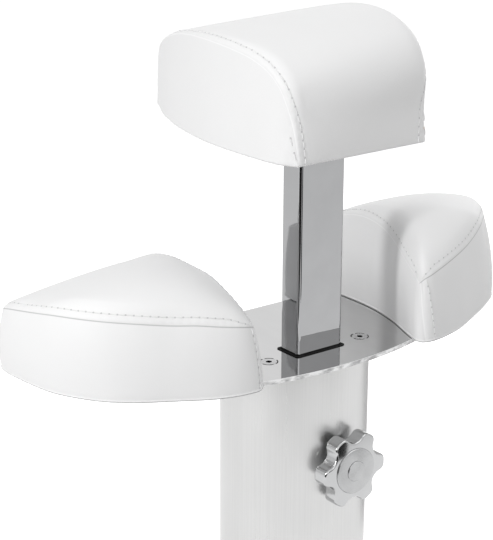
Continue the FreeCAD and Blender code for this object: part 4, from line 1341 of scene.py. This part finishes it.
@dataclass
class Pad:
    """What the three pads share: how their covers are filled, sewn, hemmed and put on their bodies."""

    finishes: Finishes
    rows: RowTree
    base: float = 0.0
    hem_radius: float = 1.3
    hem_sides: int = 10
    # Most that the filling moves a corner
    filling: float = 2.0
    # Rows of corners along and across the pad, between those near its edges
    along: int = 38
    across: int = 15
    stitch: Stitch = Stitch()
    staple: Staple = Staple()
    shell: Shell = field(default_factory=Shell)
    staple_lines: list[list[int]] = field(default_factory=list)
    hem_loop: list[int] = field(default_factory=list)
    held: set[int] = field(default_factory=set)
    relief: dict[int, float] = field(default_factory=dict)

    def top_row(
        self, near: np.ndarray, far: np.ndarray, up: np.ndarray, section: tuple[Row, float], runs: Row
    ) -> list[int]:
        """Corners across a top panel from one seam to the other.

        Args:
            near: Place on the first seam.
            far: Place on the second seam.
            up: The direction that the panel swells in.
            section: Rises of the shoulders beside the two seams, and rise of the crown.
            runs: Distances along the two seams.

        Returns:
            Corner indices.
        """
        width = float(np.linalg.norm(far[:2] - near[:2]))
        if width < NO_LENGTH:
            return [self.shell.corner(near, 0.0, runs[0])] * (2 * len(EDGE) + self.across + 2)
        crown = Crown(width, *section)
        row = []
        for d, gap in zip(*crown.places(EDGE, self.across)):
            point = near + (far - near) * (d / width) + up * crown.lift(d)
            row.append(self.shell.corner(point, gap, runs[0] if d < width / 2 else runs[1]))
        return row

    def under_row(self, near: np.ndarray, far: np.ndarray, end_gap: float) -> list[int]:
        """Corners across the underside, level with the hem at its edges and raised inside it.

        Args:
            near: Place on the base at one side.
            far: Place on the base at the other side.
            end_gap: Distance from the nearer end of the base.

        Returns:
            Corner indices.
        """
        width = float(np.linalg.norm(far - near))
        if width < NO_LENGTH:
            return [self.shell.corner(near)] * (2 * len(EDGE) + self.across + 2)
        row = []
        for d in spaced(width, EDGE, EDGE, self.across):
            point = near + (far - near) * (d / width)
            if min(d, width - d, end_gap) > HEM[1] + 0.1:
                point[2] += HEM_STEP
            row.append(self.shell.corner(point))
        return row

    def wall_column(
        self, top: np.ndarray, foot: np.ndarray, outward: np.ndarray, bow: float, run: float
    ) -> list[int]:
        """Corners of a wall from its seam down to the base, bowed out and drawn in above the hem.

        Args:
            top: The seam's place.
            foot: The base's place.
            outward: The level direction out of the pad.
            bow: How far the middle stands out.
            run: Distance along the seam.

        Returns:
            Corner indices from the seam down.
        """
        length = float(np.linalg.norm(foot - top))
        if length < NO_LENGTH:
            count = len(NEAR_TOP) + len(NEAR_BASE) + WALL_INNER + 2
            return [self.shell.corner(top, 0.0, run)] * count
        column = []
        for place in spaced(length, NEAR_TOP, NEAR_BASE, WALL_INNER):
            share = place / length
            out = bow * arch(share)
            rise = length - place
            if 0.1 < rise < NEAR_BASE[3] and self.hem_radius:
                out -= HEM_PINCH * math.exp(-((rise - NEAR_BASE[1]) ** 2))
            column.append(self.shell.corner(top + (foot - top) * share + outward * out, -place, run))
        return column

    def mark(
        self, top: Grid, walls: Grid, under: Grid, still: Grid, plain: int, stapled: slice
    ) -> None:
        """Notes the relief of the seams, the staples, and what the board and the seams hold.

        Args:
            top: Corner rows of the top panel.
            walls: Corner columns of every wall.
            under: Corner rows of the underside.
            still: More rows and columns that don't move.
            plain: How many of the top's first rows have no relief.
            stapled: Which rows of the underside have staples.
        """
        for row in top[plain:]:
            for k, amount in enumerate(TOP_RELIEF):
                self.relief[row[k]] = self.relief[row[-1 - k]] = amount
        for row in top:
            self.held.update((row[0], row[1], row[-1], row[-2]))
        for column in walls:
            self.relief.setdefault(column[1], WALL_RELIEF)
            self.held.update(column[-HELD_LOW:])
        for row in (*under, *still):
            self.held.update(row)
        for k in (STAPLE_ROW, -1 - STAPLE_ROW):
            self.staple_lines.append([row[k] for row in under[stapled]])

    def sew(self, name: str) -> bpy.types.Object:
        """Makes the cover, fills it, and presses the seams in.

        Args:
            name: Name of the cover.

        Returns:
            The finished cover.
        """
        cover = self.shell.cover(name)
        Stuffing(self.filling).fill(cover, self.held)
        depth = np.zeros(len(self.shell.points))
        for corner, amount in self.relief.items():
            depth[corner] = amount * MM
        set_places(cover, corner_places(cover) + corner_normals(cover) * depth[:, None])
        return cover

    @staticmethod
    def seam_lines(cover: bpy.types.Object, rows: Grid) -> Trim:
        """Lines of stitches along both seams of the top panel.

        Args:
            cover: The sewn cover.
            rows: The corner rows that the stitches cross.

        Returns:
            The lines.
        """
        seams = Trim()
        for k in (STITCH_ROW, -1 - STITCH_ROW):
            seams.add(cover, [row[k] for row in rows], STITCH_LIFT)
        return seams

    def finish(self, cover: bpy.types.Object, seams: Trim, body: str, nodes: Sequence[str]) -> int:
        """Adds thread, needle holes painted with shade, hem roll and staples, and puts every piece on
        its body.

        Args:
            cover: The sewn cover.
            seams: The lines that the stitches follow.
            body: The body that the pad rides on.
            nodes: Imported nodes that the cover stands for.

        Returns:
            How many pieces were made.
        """
        name = cover.name
        staples = Trim()
        for line in self.staple_lines:
            staples.add(cover, line, STAPLE_LIFT)
        thread, hole = self.stitch.thread(), self.stitch.needle_hole()
        wire = self.staple.wire_form()
        steel = self.finishes.by_slot["zinc_steel"]
        row, pitch = self.rows.row, self.stitch.pitch
        cloth_pieces = [
            row(f"{name}_stitches", seams.guide("guide"), thread, pitch, self.finishes.thread),
            row(f"{name}_needle_holes", seams.guide("guide"), hole, pitch, self.finishes.hole),
        ]
        if self.hem_radius:
            loop = corner_places(cover)[list(dict.fromkeys(self.hem_loop))]
            cloth_pieces.append(self.hem_roll(f"{name}_hem", loop / MM))
        steel_piece = row(f"{name}_staples", staples.guide("guide"), wire, self.staple.pitch, steel)
        rounded = cover.modifiers.new("rounding", "SUBSURF")
        rounded.levels = rounded.render_levels = 1
        cover.data.materials.append(self.finishes.by_slot["white_upholstery"])
        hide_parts(*nodes)
        for piece in (cover, *cloth_pieces):
            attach(piece, body)
        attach(steel_piece, body)
        for template in (thread, hole, wire):
            bpy.data.objects.remove(template)
        return len(cloth_pieces) + 2

    def hem_roll(self, name: str, loop: np.ndarray) -> bpy.types.Object:
        """Makes the rolled edge of the cover round its base, as a closed tube.

        Args:
            name: Name of the piece.
            loop: Places of the base's outline, in order, in millimetres.

        Returns:
            The roll.
        """
        centre = loop.copy()
        centre[:, 2] = self.base + self.hem_radius
        along = unit(np.roll(centre, -1, axis=0) - np.roll(centre, 1, axis=0))
        out = np.stack([along[:, 1], -along[:, 0], np.zeros(len(along))], axis=1)
        if np.sum(out * (centre - centre.mean(axis=0))) < 0:
            out = -out
        up = np.array((0.0, 0.0, 1.0))
        turns = circle(self.hem_sides)
        form = Form()
        form.tube(
            [
                [tuple(place + (side * (c - HEM_INSET) + up * s) * self.hem_radius) for c, s in turns]
                for place, side in zip(centre, out)
            ],
            closed=True,
        )
        data = form.mesh(name)
        # How far each corner of the roll faces down; the hem finish paints shade there
        store(data, "underside", [-s for _, s in turns] * len(centre))
        data.materials.append(self.finishes.hem)
        return add_piece(name, data)


@dataclass
class FootPad(Pad):
    """The crowned foot pad: one panel wraps over the front, top and back between two side panels."""

    # The cover is wrapped round the board with no roll
    hem_radius: float = 0.0
    filling: float = 2.2
    along: int = 76
    across: int = 17
    bow: float = 1.0
    edge_radius: float = 2.0
    # Places of the front and the back at the base
    ends: Row = (0.0, 0.0)
    # Distances along the seam between which the side panels are stitched low at the front
    low_stitches: Row = (8.0, 30.0)
    # Left half width, place behind the post axis, height above the plate, right half width,
    # rise of the left and of the right shoulder, crown
    seam: Sequence[Row] = (
        (69.4, -65.4, 189.5, 66.6, 0.0, 0.0, 0.0),
        (71.3, -63.4, 206.0, 67.2, 1.5, 1.0, 2.0),
        (73.9, -60.6, 225.0, 69.5, 3.5, 2.0, 4.0),
        (76.9, -57.4, 239.0, 72.0, 6.0, 7.5, 5.5),
        (79.4, -50.5, 253.5, 74.5, 8.0, 14.0, 5.0),
        (81.2, -39.0, 264.0, 77.5, 8.5, 19.5, 3.5),
        (82.8, -20.0, 271.8, 80.3, 8.0, 23.0, 2.5),
        (83.5, 2.0, 275.6, 82.0, 7.0, 23.5, 2.5),
        (82.2, 27.0, 277.2, 81.5, 6.0, 20.5, 2.0),
        (79.0, 52.0, 277.3, 78.5, 4.5, 15.0, 1.5),
        (73.8, 77.0, 275.8, 73.8, 3.0, 9.0, 1.2),
        (67.5, 102.0, 272.3, 67.5, 2.5, 4.6, 0.8),
        (59.5, 127.0, 266.2, 59.5, 2.2, 2.4, 0.6),
        (50.5, 151.0, 257.6, 50.5, 2.0, 1.2, 0.6),
        (42.0, 170.0, 247.0, 42.0, 2.0, 1.0, 0.8),
        (36.0, 181.0, 233.0, 36.0, 2.0, 1.6, 1.2),
        (34.2, 184.2, 215.0, 34.2, 1.5, 1.5, 1.0),
        (34.2, 184.2, 189.5, 34.2, 0.0, 0.0, 0.0),
    )
    # Left half width and place behind the post axis of the base, then its right half width
    outline: Sequence[Row] = (
        (69.4, -65.4, 0.0, 66.6),
        (72.2, -62.2, 0.0, 70.0),
        (75.2, -57.6, 0.0, 73.0),
        (78.7, -52.0, 0.0, 75.7),
        (81.2, -44.0, 0.0, 78.2),
        (83.4, -18.0, 0.0, 82.7),
        (84.2, 2.0, 0.0, 83.7),
        (83.8, 27.0, 0.0, 82.4),
        (81.8, 52.0, 0.0, 79.2),
        (77.6, 77.0, 0.0, 74.0),
        (71.4, 102.0, 0.0, 67.7),
        (63.0, 127.0, 0.0, 59.7),
        (53.4, 150.0, 0.0, 51.2),
        (42.2, 170.0, 0.0, 42.2),
        (34.2, 184.2, 0.0, 34.2),
    )

    def build(self) -> int:
        """Builds the pad.

        Returns:
            How many pieces it has.
        """
        self.base = FOOT_PAD_BASE / MM
        plate, post = PLATE_TOP / MM, POST_Y / MM
        length = path_lengths(smooth_path(self.seam))[-1]
        places = spaced(length, NEAR_BASE, NEAR_BASE, self.along)
        seam = smooth_path(self.seam, places)
        seam[0, 2] = seam[-1, 2] = self.base - plate
        outline_length = path_lengths(smooth_path(self.outline))[-1]
        outline = smooth_path(self.outline, places / length * outline_length)
        tangent = unit(np.gradient(seam[:, 1:3], places, axis=0))
        self.ends = (outline[0][1] + post, outline[-1][1] + post)
        wrap, left, right, under = [], [], [], []
        for i, (half, y, z, other, *rises, crown) in enumerate(seam):
            tuck = self.tuck(z + plate - self.base)
            level = (self.within(y + post, tuck), z + plate)
            near, far = (np.array((x, *level)) for x in (tuck - half, other - tuck))
            up = np.array((0.0, -tangent[i][1], tangent[i][0]))
            run = -places[i]
            wrap.append(self.top_row(near, far, up, (tuple(rises), crown), (run, run)))
            foot_half, foot_y, _, foot_other = outline[i]
            left.append(self.side_column(near, np.array((-foot_half, foot_y + post, self.base)), run))
            right.append(self.side_column(far, np.array((foot_other, foot_y + post, self.base)), run))
            under.append(self.foot_row(foot_half, foot_other, foot_y + post))
        under[0], under[-1] = wrap[0], wrap[-1]
        for grid in (wrap, left, right, under):
            self.shell.patch(grid)
        self.mark(wrap, [*left, *right], under, wrap[:2] + wrap[-2:], 0, slice(8, -8))
        cover = self.sew("foot_pad")
        seams = self.seam_lines(cover, wrap[3:-3])
        start, end = self.low_stitches
        for columns in (left, right):
            low = [column[3] for column, place in zip(columns, places) if start < place < end]
            seams.add(cover, low, STITCH_LIFT)
        return self.finish(cover, seams, "foot_rest", ("foot_pad_cover", "foot_pad_foam"))

    def tuck(self, rise: float) -> float:
        """How far the rounded base edge is drawn in at a height above the base."""
        radius = self.edge_radius
        return radius - math.sqrt(radius**2 - max(radius - rise, 0.0) ** 2)

    def within(self, y: float, tuck: float) -> float:
        """The same place, or the nearest one that the drawn in front and back leave."""
        front, back = self.ends
        return min(max(y, front + tuck), back - tuck)

    def side_column(self, top: np.ndarray, foot: np.ndarray, run: float) -> list[int]:
        """Corners of a side panel from its seam down to the rounded base edge.

        Args:
            top: The seam's place.
            foot: The base's place before it is rounded.
            run: Distance along the seam.

        Returns:
            Corner indices from the seam down.
        """
        length = float(top[2] - foot[2])
        span = max(length, 0.001)
        hand = math.copysign(1.0, foot[0])
        column = []
        for place in spaced(span, NEAR_TOP, NEAR_BASE, WALL_INNER):
            share = min(place / span, 1.0)
            tuck = self.tuck(length * (1 - share))
            point = top + (foot - top) * share
            point[0] += hand * (self.bow * arch(share) - (tuck if share > 0 else 0.0))
            point[1] = self.within(point[1], tuck)
            column.append(self.shell.corner(point, -place, run))
        return column

    def foot_row(self, left: float, right: float, y: float) -> list[int]:
        """Corners across the underside, inside the rounded base edge.

        Args:
            left: Half width on the left.
            right: Half width on the right.
            y: Place from front to back.

        Returns:
            Corner indices from left to right.
        """
        radius = self.edge_radius
        y = self.within(y, radius)
        near, far = (np.array((x, y, self.base)) for x in (radius - left, right - radius))
        front, back = self.ends
        return self.under_row(near, far, min(y - front, back - y) - radius)


@dataclass
class LegPad(Pad):
    """A leg pad: a crowned top panel over a wall that is joined near its inner front corner."""

    stitch: Stitch = Stitch(pitch=6.6)
    side: Side = Side.RIGHT
    inset: float = 84.0
    bow: float = 1.5
    outer_bow: float = 3.5
    # The outer wall's bow grows over the first distance from the front corner, and every rise and
    # bow dies away over the second distance before the back
    bow_run: float = 60.0
    back_run: float = 14.0
    # Rows next to the front corner that have no stitches and no relief
    plain: int = 4
    inner: Sequence[Row] = RIGHT_INNER
    outer: Sequence[Row] = RIGHT_OUTER
    # Where the upright join runs, from the corner along the front wall, at the top and at the base
    join: Row = (1.0, 10.5)
    join_allowance: float = 7.3
    # Columns of the front wall that the join may cross, and rows beyond its ends
    join_columns: int = len(NEAR_CORNER) + 3
    join_margin: int = 3

    def build(self) -> int:
        """Builds the pad.

        Returns:
            How many pieces it has.
        """
        label = self.side.name.lower()
        self.base = PLATE_TOP / MM
        lengths = [path_lengths(smooth_path(rows))[-1] for rows in (self.inner, self.outer)]
        places = [spaced(length, NEAR_CORNER, NEAR_SEAM[:2], self.along) for length in lengths]
        inner, outer = smooth_path(self.inner, places[0]), smooth_path(self.outer, places[1])
        inner_out, outer_out = self.outwards(inner, 1.0), self.outwards(outer, -1.0)
        behind, up = np.array((0.0, 1.0, 0.0)), np.array((0.0, 0.0, 1.0))
        inner_out[0] = outer_out[0] = unit(inner_out[0] + outer_out[0])
        inner_out[-1], outer_out[-1] = unit(inner_out[-1] + behind), unit(outer_out[-1] + behind)
        top, under, inner_wall, outer_wall = [], [], [], []
        for i, (run, far_run) in enumerate(zip(*places)):
            near, near_foot = self.placed(inner[i])
            far, far_foot = self.placed(outer[i])
            left = lengths[0] - run
            back = shoulder(left, self.back_run)
            section = ((inner[i][3] * back, outer[i][3] * back), inner[i][4] * back)
            top.append(self.top_row(near, far, up, section, (-run, far_run)))
            far_bow = self.bow + (self.outer_bow - self.bow) * min(1.0, far_run / self.bow_run)
            far_bow *= shoulder(lengths[1] - far_run, self.back_run)
            inner_wall.append(self.wall_column(near, near_foot, inner_out[i], self.bow * back, -run))
            outer_wall.append(self.wall_column(far, far_foot, outer_out[i], far_bow, far_run))
            under.append(self.under_row(near_foot, far_foot, min(run, left)))
        back_wall = self.back_wall(top[-1], under[-1], (inner_wall[-1], outer_wall[-1]))
        self.note_join(outer_wall, places[1], 1.0)
        self.note_join(inner_wall, places[0], -1.0)
        for grid in (top, under, inner_wall, outer_wall, back_wall):
            self.shell.patch(grid)
        walls = [*inner_wall, *outer_wall, *back_wall]
        still = [*top[: self.plain], top[-1], *inner_wall[:2], *outer_wall[:2]]
        self.mark(top, walls, under, still, self.plain, slice(10, -8))
        hem = [*inner_wall, *back_wall, *outer_wall[::-1]]
        self.hem_loop = [column[-1] for column in hem]
        cover = self.sew(f"{label}_leg_pad")
        seams = self.seam_lines(cover, top[self.plain :])
        self.stitch_join(cover, seams, outer_wall[: self.join_columns], places[1])
        return self.finish(cover, seams, "column", (f"{label}_pad_cover", f"{label}_pad_foam"))

    def stitch_join(self, cover: bpy.types.Object, seams: Trim, wall: Grid, places: np.ndarray) -> None:
        """Adds a line of stitches beside the upright join.

        Args:
            cover: The sewn cover.
            seams: The lines that the stitches follow.
            wall: Corner columns that the join may cross.
            places: Distances of the columns from the corner of the pad.
        """
        ranks = [list(rank) for rank in zip(*wall)][self.join_margin : -self.join_margin]
        start, end = self.join
        depth = np.linspace(0.08, 0.92, len(ranks))
        wanted = start + (end - start) * depth + self.join_allowance
        seams.follow(cover, ranks, places[: len(wall)], wanted, STITCH_LIFT)

    def placed(self, row: np.ndarray) -> tuple[np.ndarray, np.ndarray]:
        """Puts one row of a seam's table in its place.

        Args:
            row: Numbers of the row.

        Returns:
            The seam's point and the base's point under it, in millimetres.
        """
        post, plate = POST_Y / MM, PLATE_TOP / MM
        hand = self.side.value
        seam = np.array((hand * (self.inset + row[0]), row[1] + post, row[2] + plate))
        return seam, np.array((hand * (self.inset + row[5]), row[6] + post, self.base))

    def outwards(self, seam: np.ndarray, turn: float) -> np.ndarray:
        """Finds the level directions out of the pad along the base.

        Args:
            seam: Rows of a seam's table.
            turn: 1 along the inner seam and -1 along the outer one.

        Returns:
            One direction for each row.
        """
        along = np.gradient(seam[:, 5:7], axis=0)
        out = unit(np.stack([-along[:, 1] * turn, along[:, 0] * turn, np.zeros(len(seam))], axis=1))
        out[:, 0] *= self.side.value
        return out

    def back_wall(self, seam: Sequence[int], foot: Sequence[int], ends: Grid) -> list[Sequence[int]]:
        """Columns of the wall behind, between the last rows of the top and of the underside.

        Args:
            seam: Corner indices of the top's last row.
            foot: Corner indices of the underside's last row.
            ends: The last columns of the inner and of the outer wall, which it shares.

        Returns:
            Corner columns from the inner end to the outer one.
        """
        last = len(seam) - 1
        columns = [ends[0]]
        for k in range(1, last):
            top, base = (np.array(self.shell.points[row[k]]) for row in (seam, foot))
            bow = self.bow * math.sin(math.pi * k / last)
            columns.append(self.wall_column(top, base, np.array((0.0, 1.0, 0.0)), bow, 0.0))
        return [*columns, ends[1]]

    def note_join(self, wall: Grid, places: np.ndarray, hand: float) -> None:
        """Stores each wall corner's distance from the upright join.

        Args:
            wall: Corner columns.
            places: Their distances from the corner of the pad.
            hand: 1 on the front wall and -1 on the inner one.
        """
        start, end = self.join
        for column, place in zip(wall, places):
            for k, corner in enumerate(column):
                depth = k / (len(column) - 1)
                self.shell.join[corner] = hand * place - (start + (end - start) * depth)


@dataclass(frozen=True)
class ScrewRimShades:
    """Painted shade: dark strips on the plate round each countersunk head that stand for the shaded gap
    and its dark reflection, broken where the light catches it.
    """

    head: float = 8.0
    inner: float = 7.3
    outer: float = 8.3
    # Angles where each painted dark piece of a rim starts and ends, in degrees; the breaks between
    # stand for glints
    arcs: tuple[tuple[float, float], ...] = ((20, 80), (98, 160), (188, 262), (284, 352))
    height: float = 0.05
    steps: int = 10

    def build(self, finish: bpy.types.Material) -> int:
        """Builds the painted shade rims round the plate screws as one piece.

        Args:
            finish: Material of the rims.

        Returns:
            How many rims there are.
        """
        low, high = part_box("plate_screws")
        reach = (high[0] - low[0]) / 2 / MM - self.head
        hands = [side.value for side in Side]
        form = Form()
        for hand in hands:
            for start, end in self.arcs:
                form.tube(self.arc(hand * reach, start, end))
        piece = add_piece("plate_screw_rims", form.mesh("plate_screw_rims", smooth=False))
        piece.data.materials.append(finish)
        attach(piece, "column")
        return len(hands)

    def arc(self, x: float, start: float, end: float) -> list[list[Row]]:
        """Sections of one piece of a rim, as a thin strip of painted shade on the plate.

        Args:
            x: Middle of the screw, sideways.
            start: Angle where the piece starts.
            end: Angle where it ends.

        Returns:
            Four corners at each step.
        """
        y, base = middle("plate_screws", 1) / MM, PLATE_TOP / MM
        top = base + self.height
        section = ((self.inner, base), (self.inner, top), (self.outer, top), (self.outer, base))
        rings = []
        for k in range(self.steps + 1):
            angle = math.radians(start + (end - start) * k / self.steps)
            c, s = math.cos(angle), math.sin(angle)
            rings.append([(x + radius * c, y + radius * s, level) for radius, level in section])
        return rings


# Stage


@dataclass(frozen=True)
class Studio:
    """A plain pale floor, soft lamps and the camera at the photograph's angle."""

    camera_place: Row = (-0.94644, -1.15363, 1.00329)
    azimuth: float = 37.7
    elevation: float = 18.46
    roll: float = 0.29
    lens: float = 118.35
    sensor: float = 36.0
    far_clip: float = 60.0
    floor_width: float = 18.0
    floor_level: float = -0.0006
    # How bright the floor looks to the camera and in metal, and the air as light and when seen
    floor_glow: float = 0.74
    air: Row = (0.52, 1.0)

    def build(self) -> None:
        """Builds the floor, the world, the lamps and the camera."""
        self.floor()
        self.world()
        self.lamp("left_lamp", (-2.5, -0.29, 1.4), (0.3, 1.6), 33.0)
        self.lamp("front_lamp", (-1.1, -2.5, 1.6), (1.6, 1.6), 8.0)
        self.lamp("overhead_lamp", (0.5, -0.4, 2.7), (2.0, 2.0), 14.0)
        self.lamp("fill_lamp", (2.0, 0.95, 1.0), (1.2, 1.2), 20.0, shows=False)
        self.flag("front_flag", (-1.01, -0.82, 0.36), (2.34, 0.7))
        self.flag("knob_flag", (0.27, -1.07, 0.32), (0.5, 0.42))
        self.flag("side_flag", (0.54, 0.17, 0.25), (0.4, 0.5), 0.85)
        self.camera()

    def floor(self) -> None:
        """A pale floor that shows white and keeps the object's shadow."""
        data = rectangle("studio_floor", self.floor_width, self.floor_width, self.floor_level)
        recipe = Recipe("studio_floor_paint")
        path = recipe.add("LightPath")
        seen = recipe.math("MAXIMUM", path.outputs["Is Camera Ray"], path.outputs["Is Glossy Ray"])
        seen = recipe.math("MAXIMUM", seen, path.outputs["Is Transmission Ray"])
        glow = recipe.math("MULTIPLY", seen, self.floor_glow)
        light = recipe.add("Emission", Color=(1.0, 1.0, 1.0, 1.0), Strength=glow)
        both = recipe.add("AddShader", i0=recipe.shader.outputs[0], i1=light.outputs[0])
        recipe.give(recipe.tree.nodes["Material Output"], "Surface", both.outputs[0])
        paint = recipe.tint(recipe.noise(3.0), (0.60, 0.60, 0.60), (0.62, 0.62, 0.62))
        data.materials.append(recipe.wire(Base_Color=paint, Roughness=0.9, Specular_IOR_Level=0.0))
        add_piece("studio_floor", data)

    def world(self) -> None:
        """Even light all round, which shows white itself."""
        world = bpy.data.worlds.new("studio_air")
        bpy.context.scene.world = world
        world.use_nodes = True
        nodes = Nodes(world.node_tree)
        back = world.node_tree.nodes["Background"]
        back.inputs["Color"].default_value = (1.0, 1.0, 1.0, 1.0)
        path = nodes.add("LightPath")
        seen = nodes.math("MAXIMUM", path.outputs["Is Camera Ray"], path.outputs["Is Glossy Ray"])
        nodes.give(back, "Strength", nodes.spread(seen, *self.air, 0.0, 1.0))

    def lamp(self, name: str, place: Row, extent: Row, power: float, shows: bool = True) -> None:
        """Adds one soft lamp that looks at the pads.

        Args:
            name: Name of the lamp.
            place: Its middle, in metres.
            extent: Its width and height.
            power: Its power in watts.
            shows: Whether bright metal shows it.
        """
        data = bpy.data.lights.new(name, "AREA")
        data.shape = "RECTANGLE"
        data.size, data.size_y = extent
        data.energy = power
        lamp = bpy.data.objects.new(name, data)
        lamp.visible_glossy = shows
        bpy.context.scene.collection.objects.link(lamp)
        self.aim(lamp, place)

    def flag(self, name: str, place: Row, extent: Row, tone: float = 0.012) -> None:
        """Adds a dark card that only shows in the bright metal, as in a studio.

        Args:
            name: Name of the card.
            place: Its middle, in metres.
            extent: Its width and height.
            tone: How pale it is.
        """
        data = rectangle(name, *extent)
        data.materials.append(MouldedPlastic(f"{name}_felt", (tone, tone, tone), 0.9, 0.3).make())
        card = add_piece(name, data)
        card.visible_camera = card.visible_diffuse = card.visible_shadow = False
        self.aim(card, place, place[2])

    def aim(self, piece: bpy.types.Object, place: Row, height: float = 0.55) -> None:
        """Sets a lamp or card in its place and turns it to the column's axis.

        Args:
            piece: The lamp or card.
            place: Its middle, in metres.
            height: Height of the point on the axis that it looks at.
        """
        piece.location = place
        piece.rotation_mode = "QUATERNION"
        look = Vector((0.0, 0.0, height)) - Vector(place)
        piece.rotation_quaternion = look.to_track_quat("-Z", "Y")

    def camera(self) -> None:
        """Sets the camera where the photograph was taken from."""
        data = bpy.data.cameras.new("photo_camera")
        data.lens = self.lens
        data.sensor_width = self.sensor
        data.clip_end = self.far_clip
        turn, tilt, roll = (math.radians(a) for a in (self.azimuth, self.elevation, self.roll))
        level = math.cos(tilt)
        forward = Vector((math.sin(turn) * level, math.cos(turn) * level, -math.sin(tilt)))
        side = Vector((math.cos(turn), -math.sin(turn), 0.0))
        top = side.cross(forward)
        right = side * math.cos(roll) + top * math.sin(roll)
        up = top * math.cos(roll) - side * math.sin(roll)
        facing = Matrix((right, up, -forward)).transposed().to_4x4()
        camera = bpy.data.objects.new("photo_camera", data)
        camera.matrix_world = Matrix.Translation(self.camera_place) @ facing
        bpy.context.scene.collection.objects.link(camera)
        bpy.context.scene.camera = camera


def main() -> None:
    """Builds the studio, the finishes, the painted shade rims round the screws and the pads in order.
    """
    logging.basicConfig(level=logging.INFO, format="%(name)s: %(message)s")
    bpy.context.scene.view_settings.view_transform = "Standard"
    Studio().build()
    finishes = Finishes()
    LOG.info("packed nodes dressed: %d", finishes.dress_nodes())
    # Painted shade rims round the plate screws
    LOG.info("screw rims: %d", ScrewRimShades().build(finishes.by_slot["black_rubber"]))
    rows = RowTree("row_along_seam")
    pads: tuple[Pad, ...] = (
        FootPad(finishes, rows),
        LegPad(finishes, rows),
        LegPad(
            finishes,
            rows,
            side=Side.LEFT,
            inset=87.0,
            inner=LEFT_INNER,
            outer=LEFT_OUTER,
            join=(-3.9, -1.8),
        ),
    )
    for pad in pads:
        LOG.info("%s: %d pieces", type(pad).__name__, pad.build())


if __name__ == "__main__":
    main()
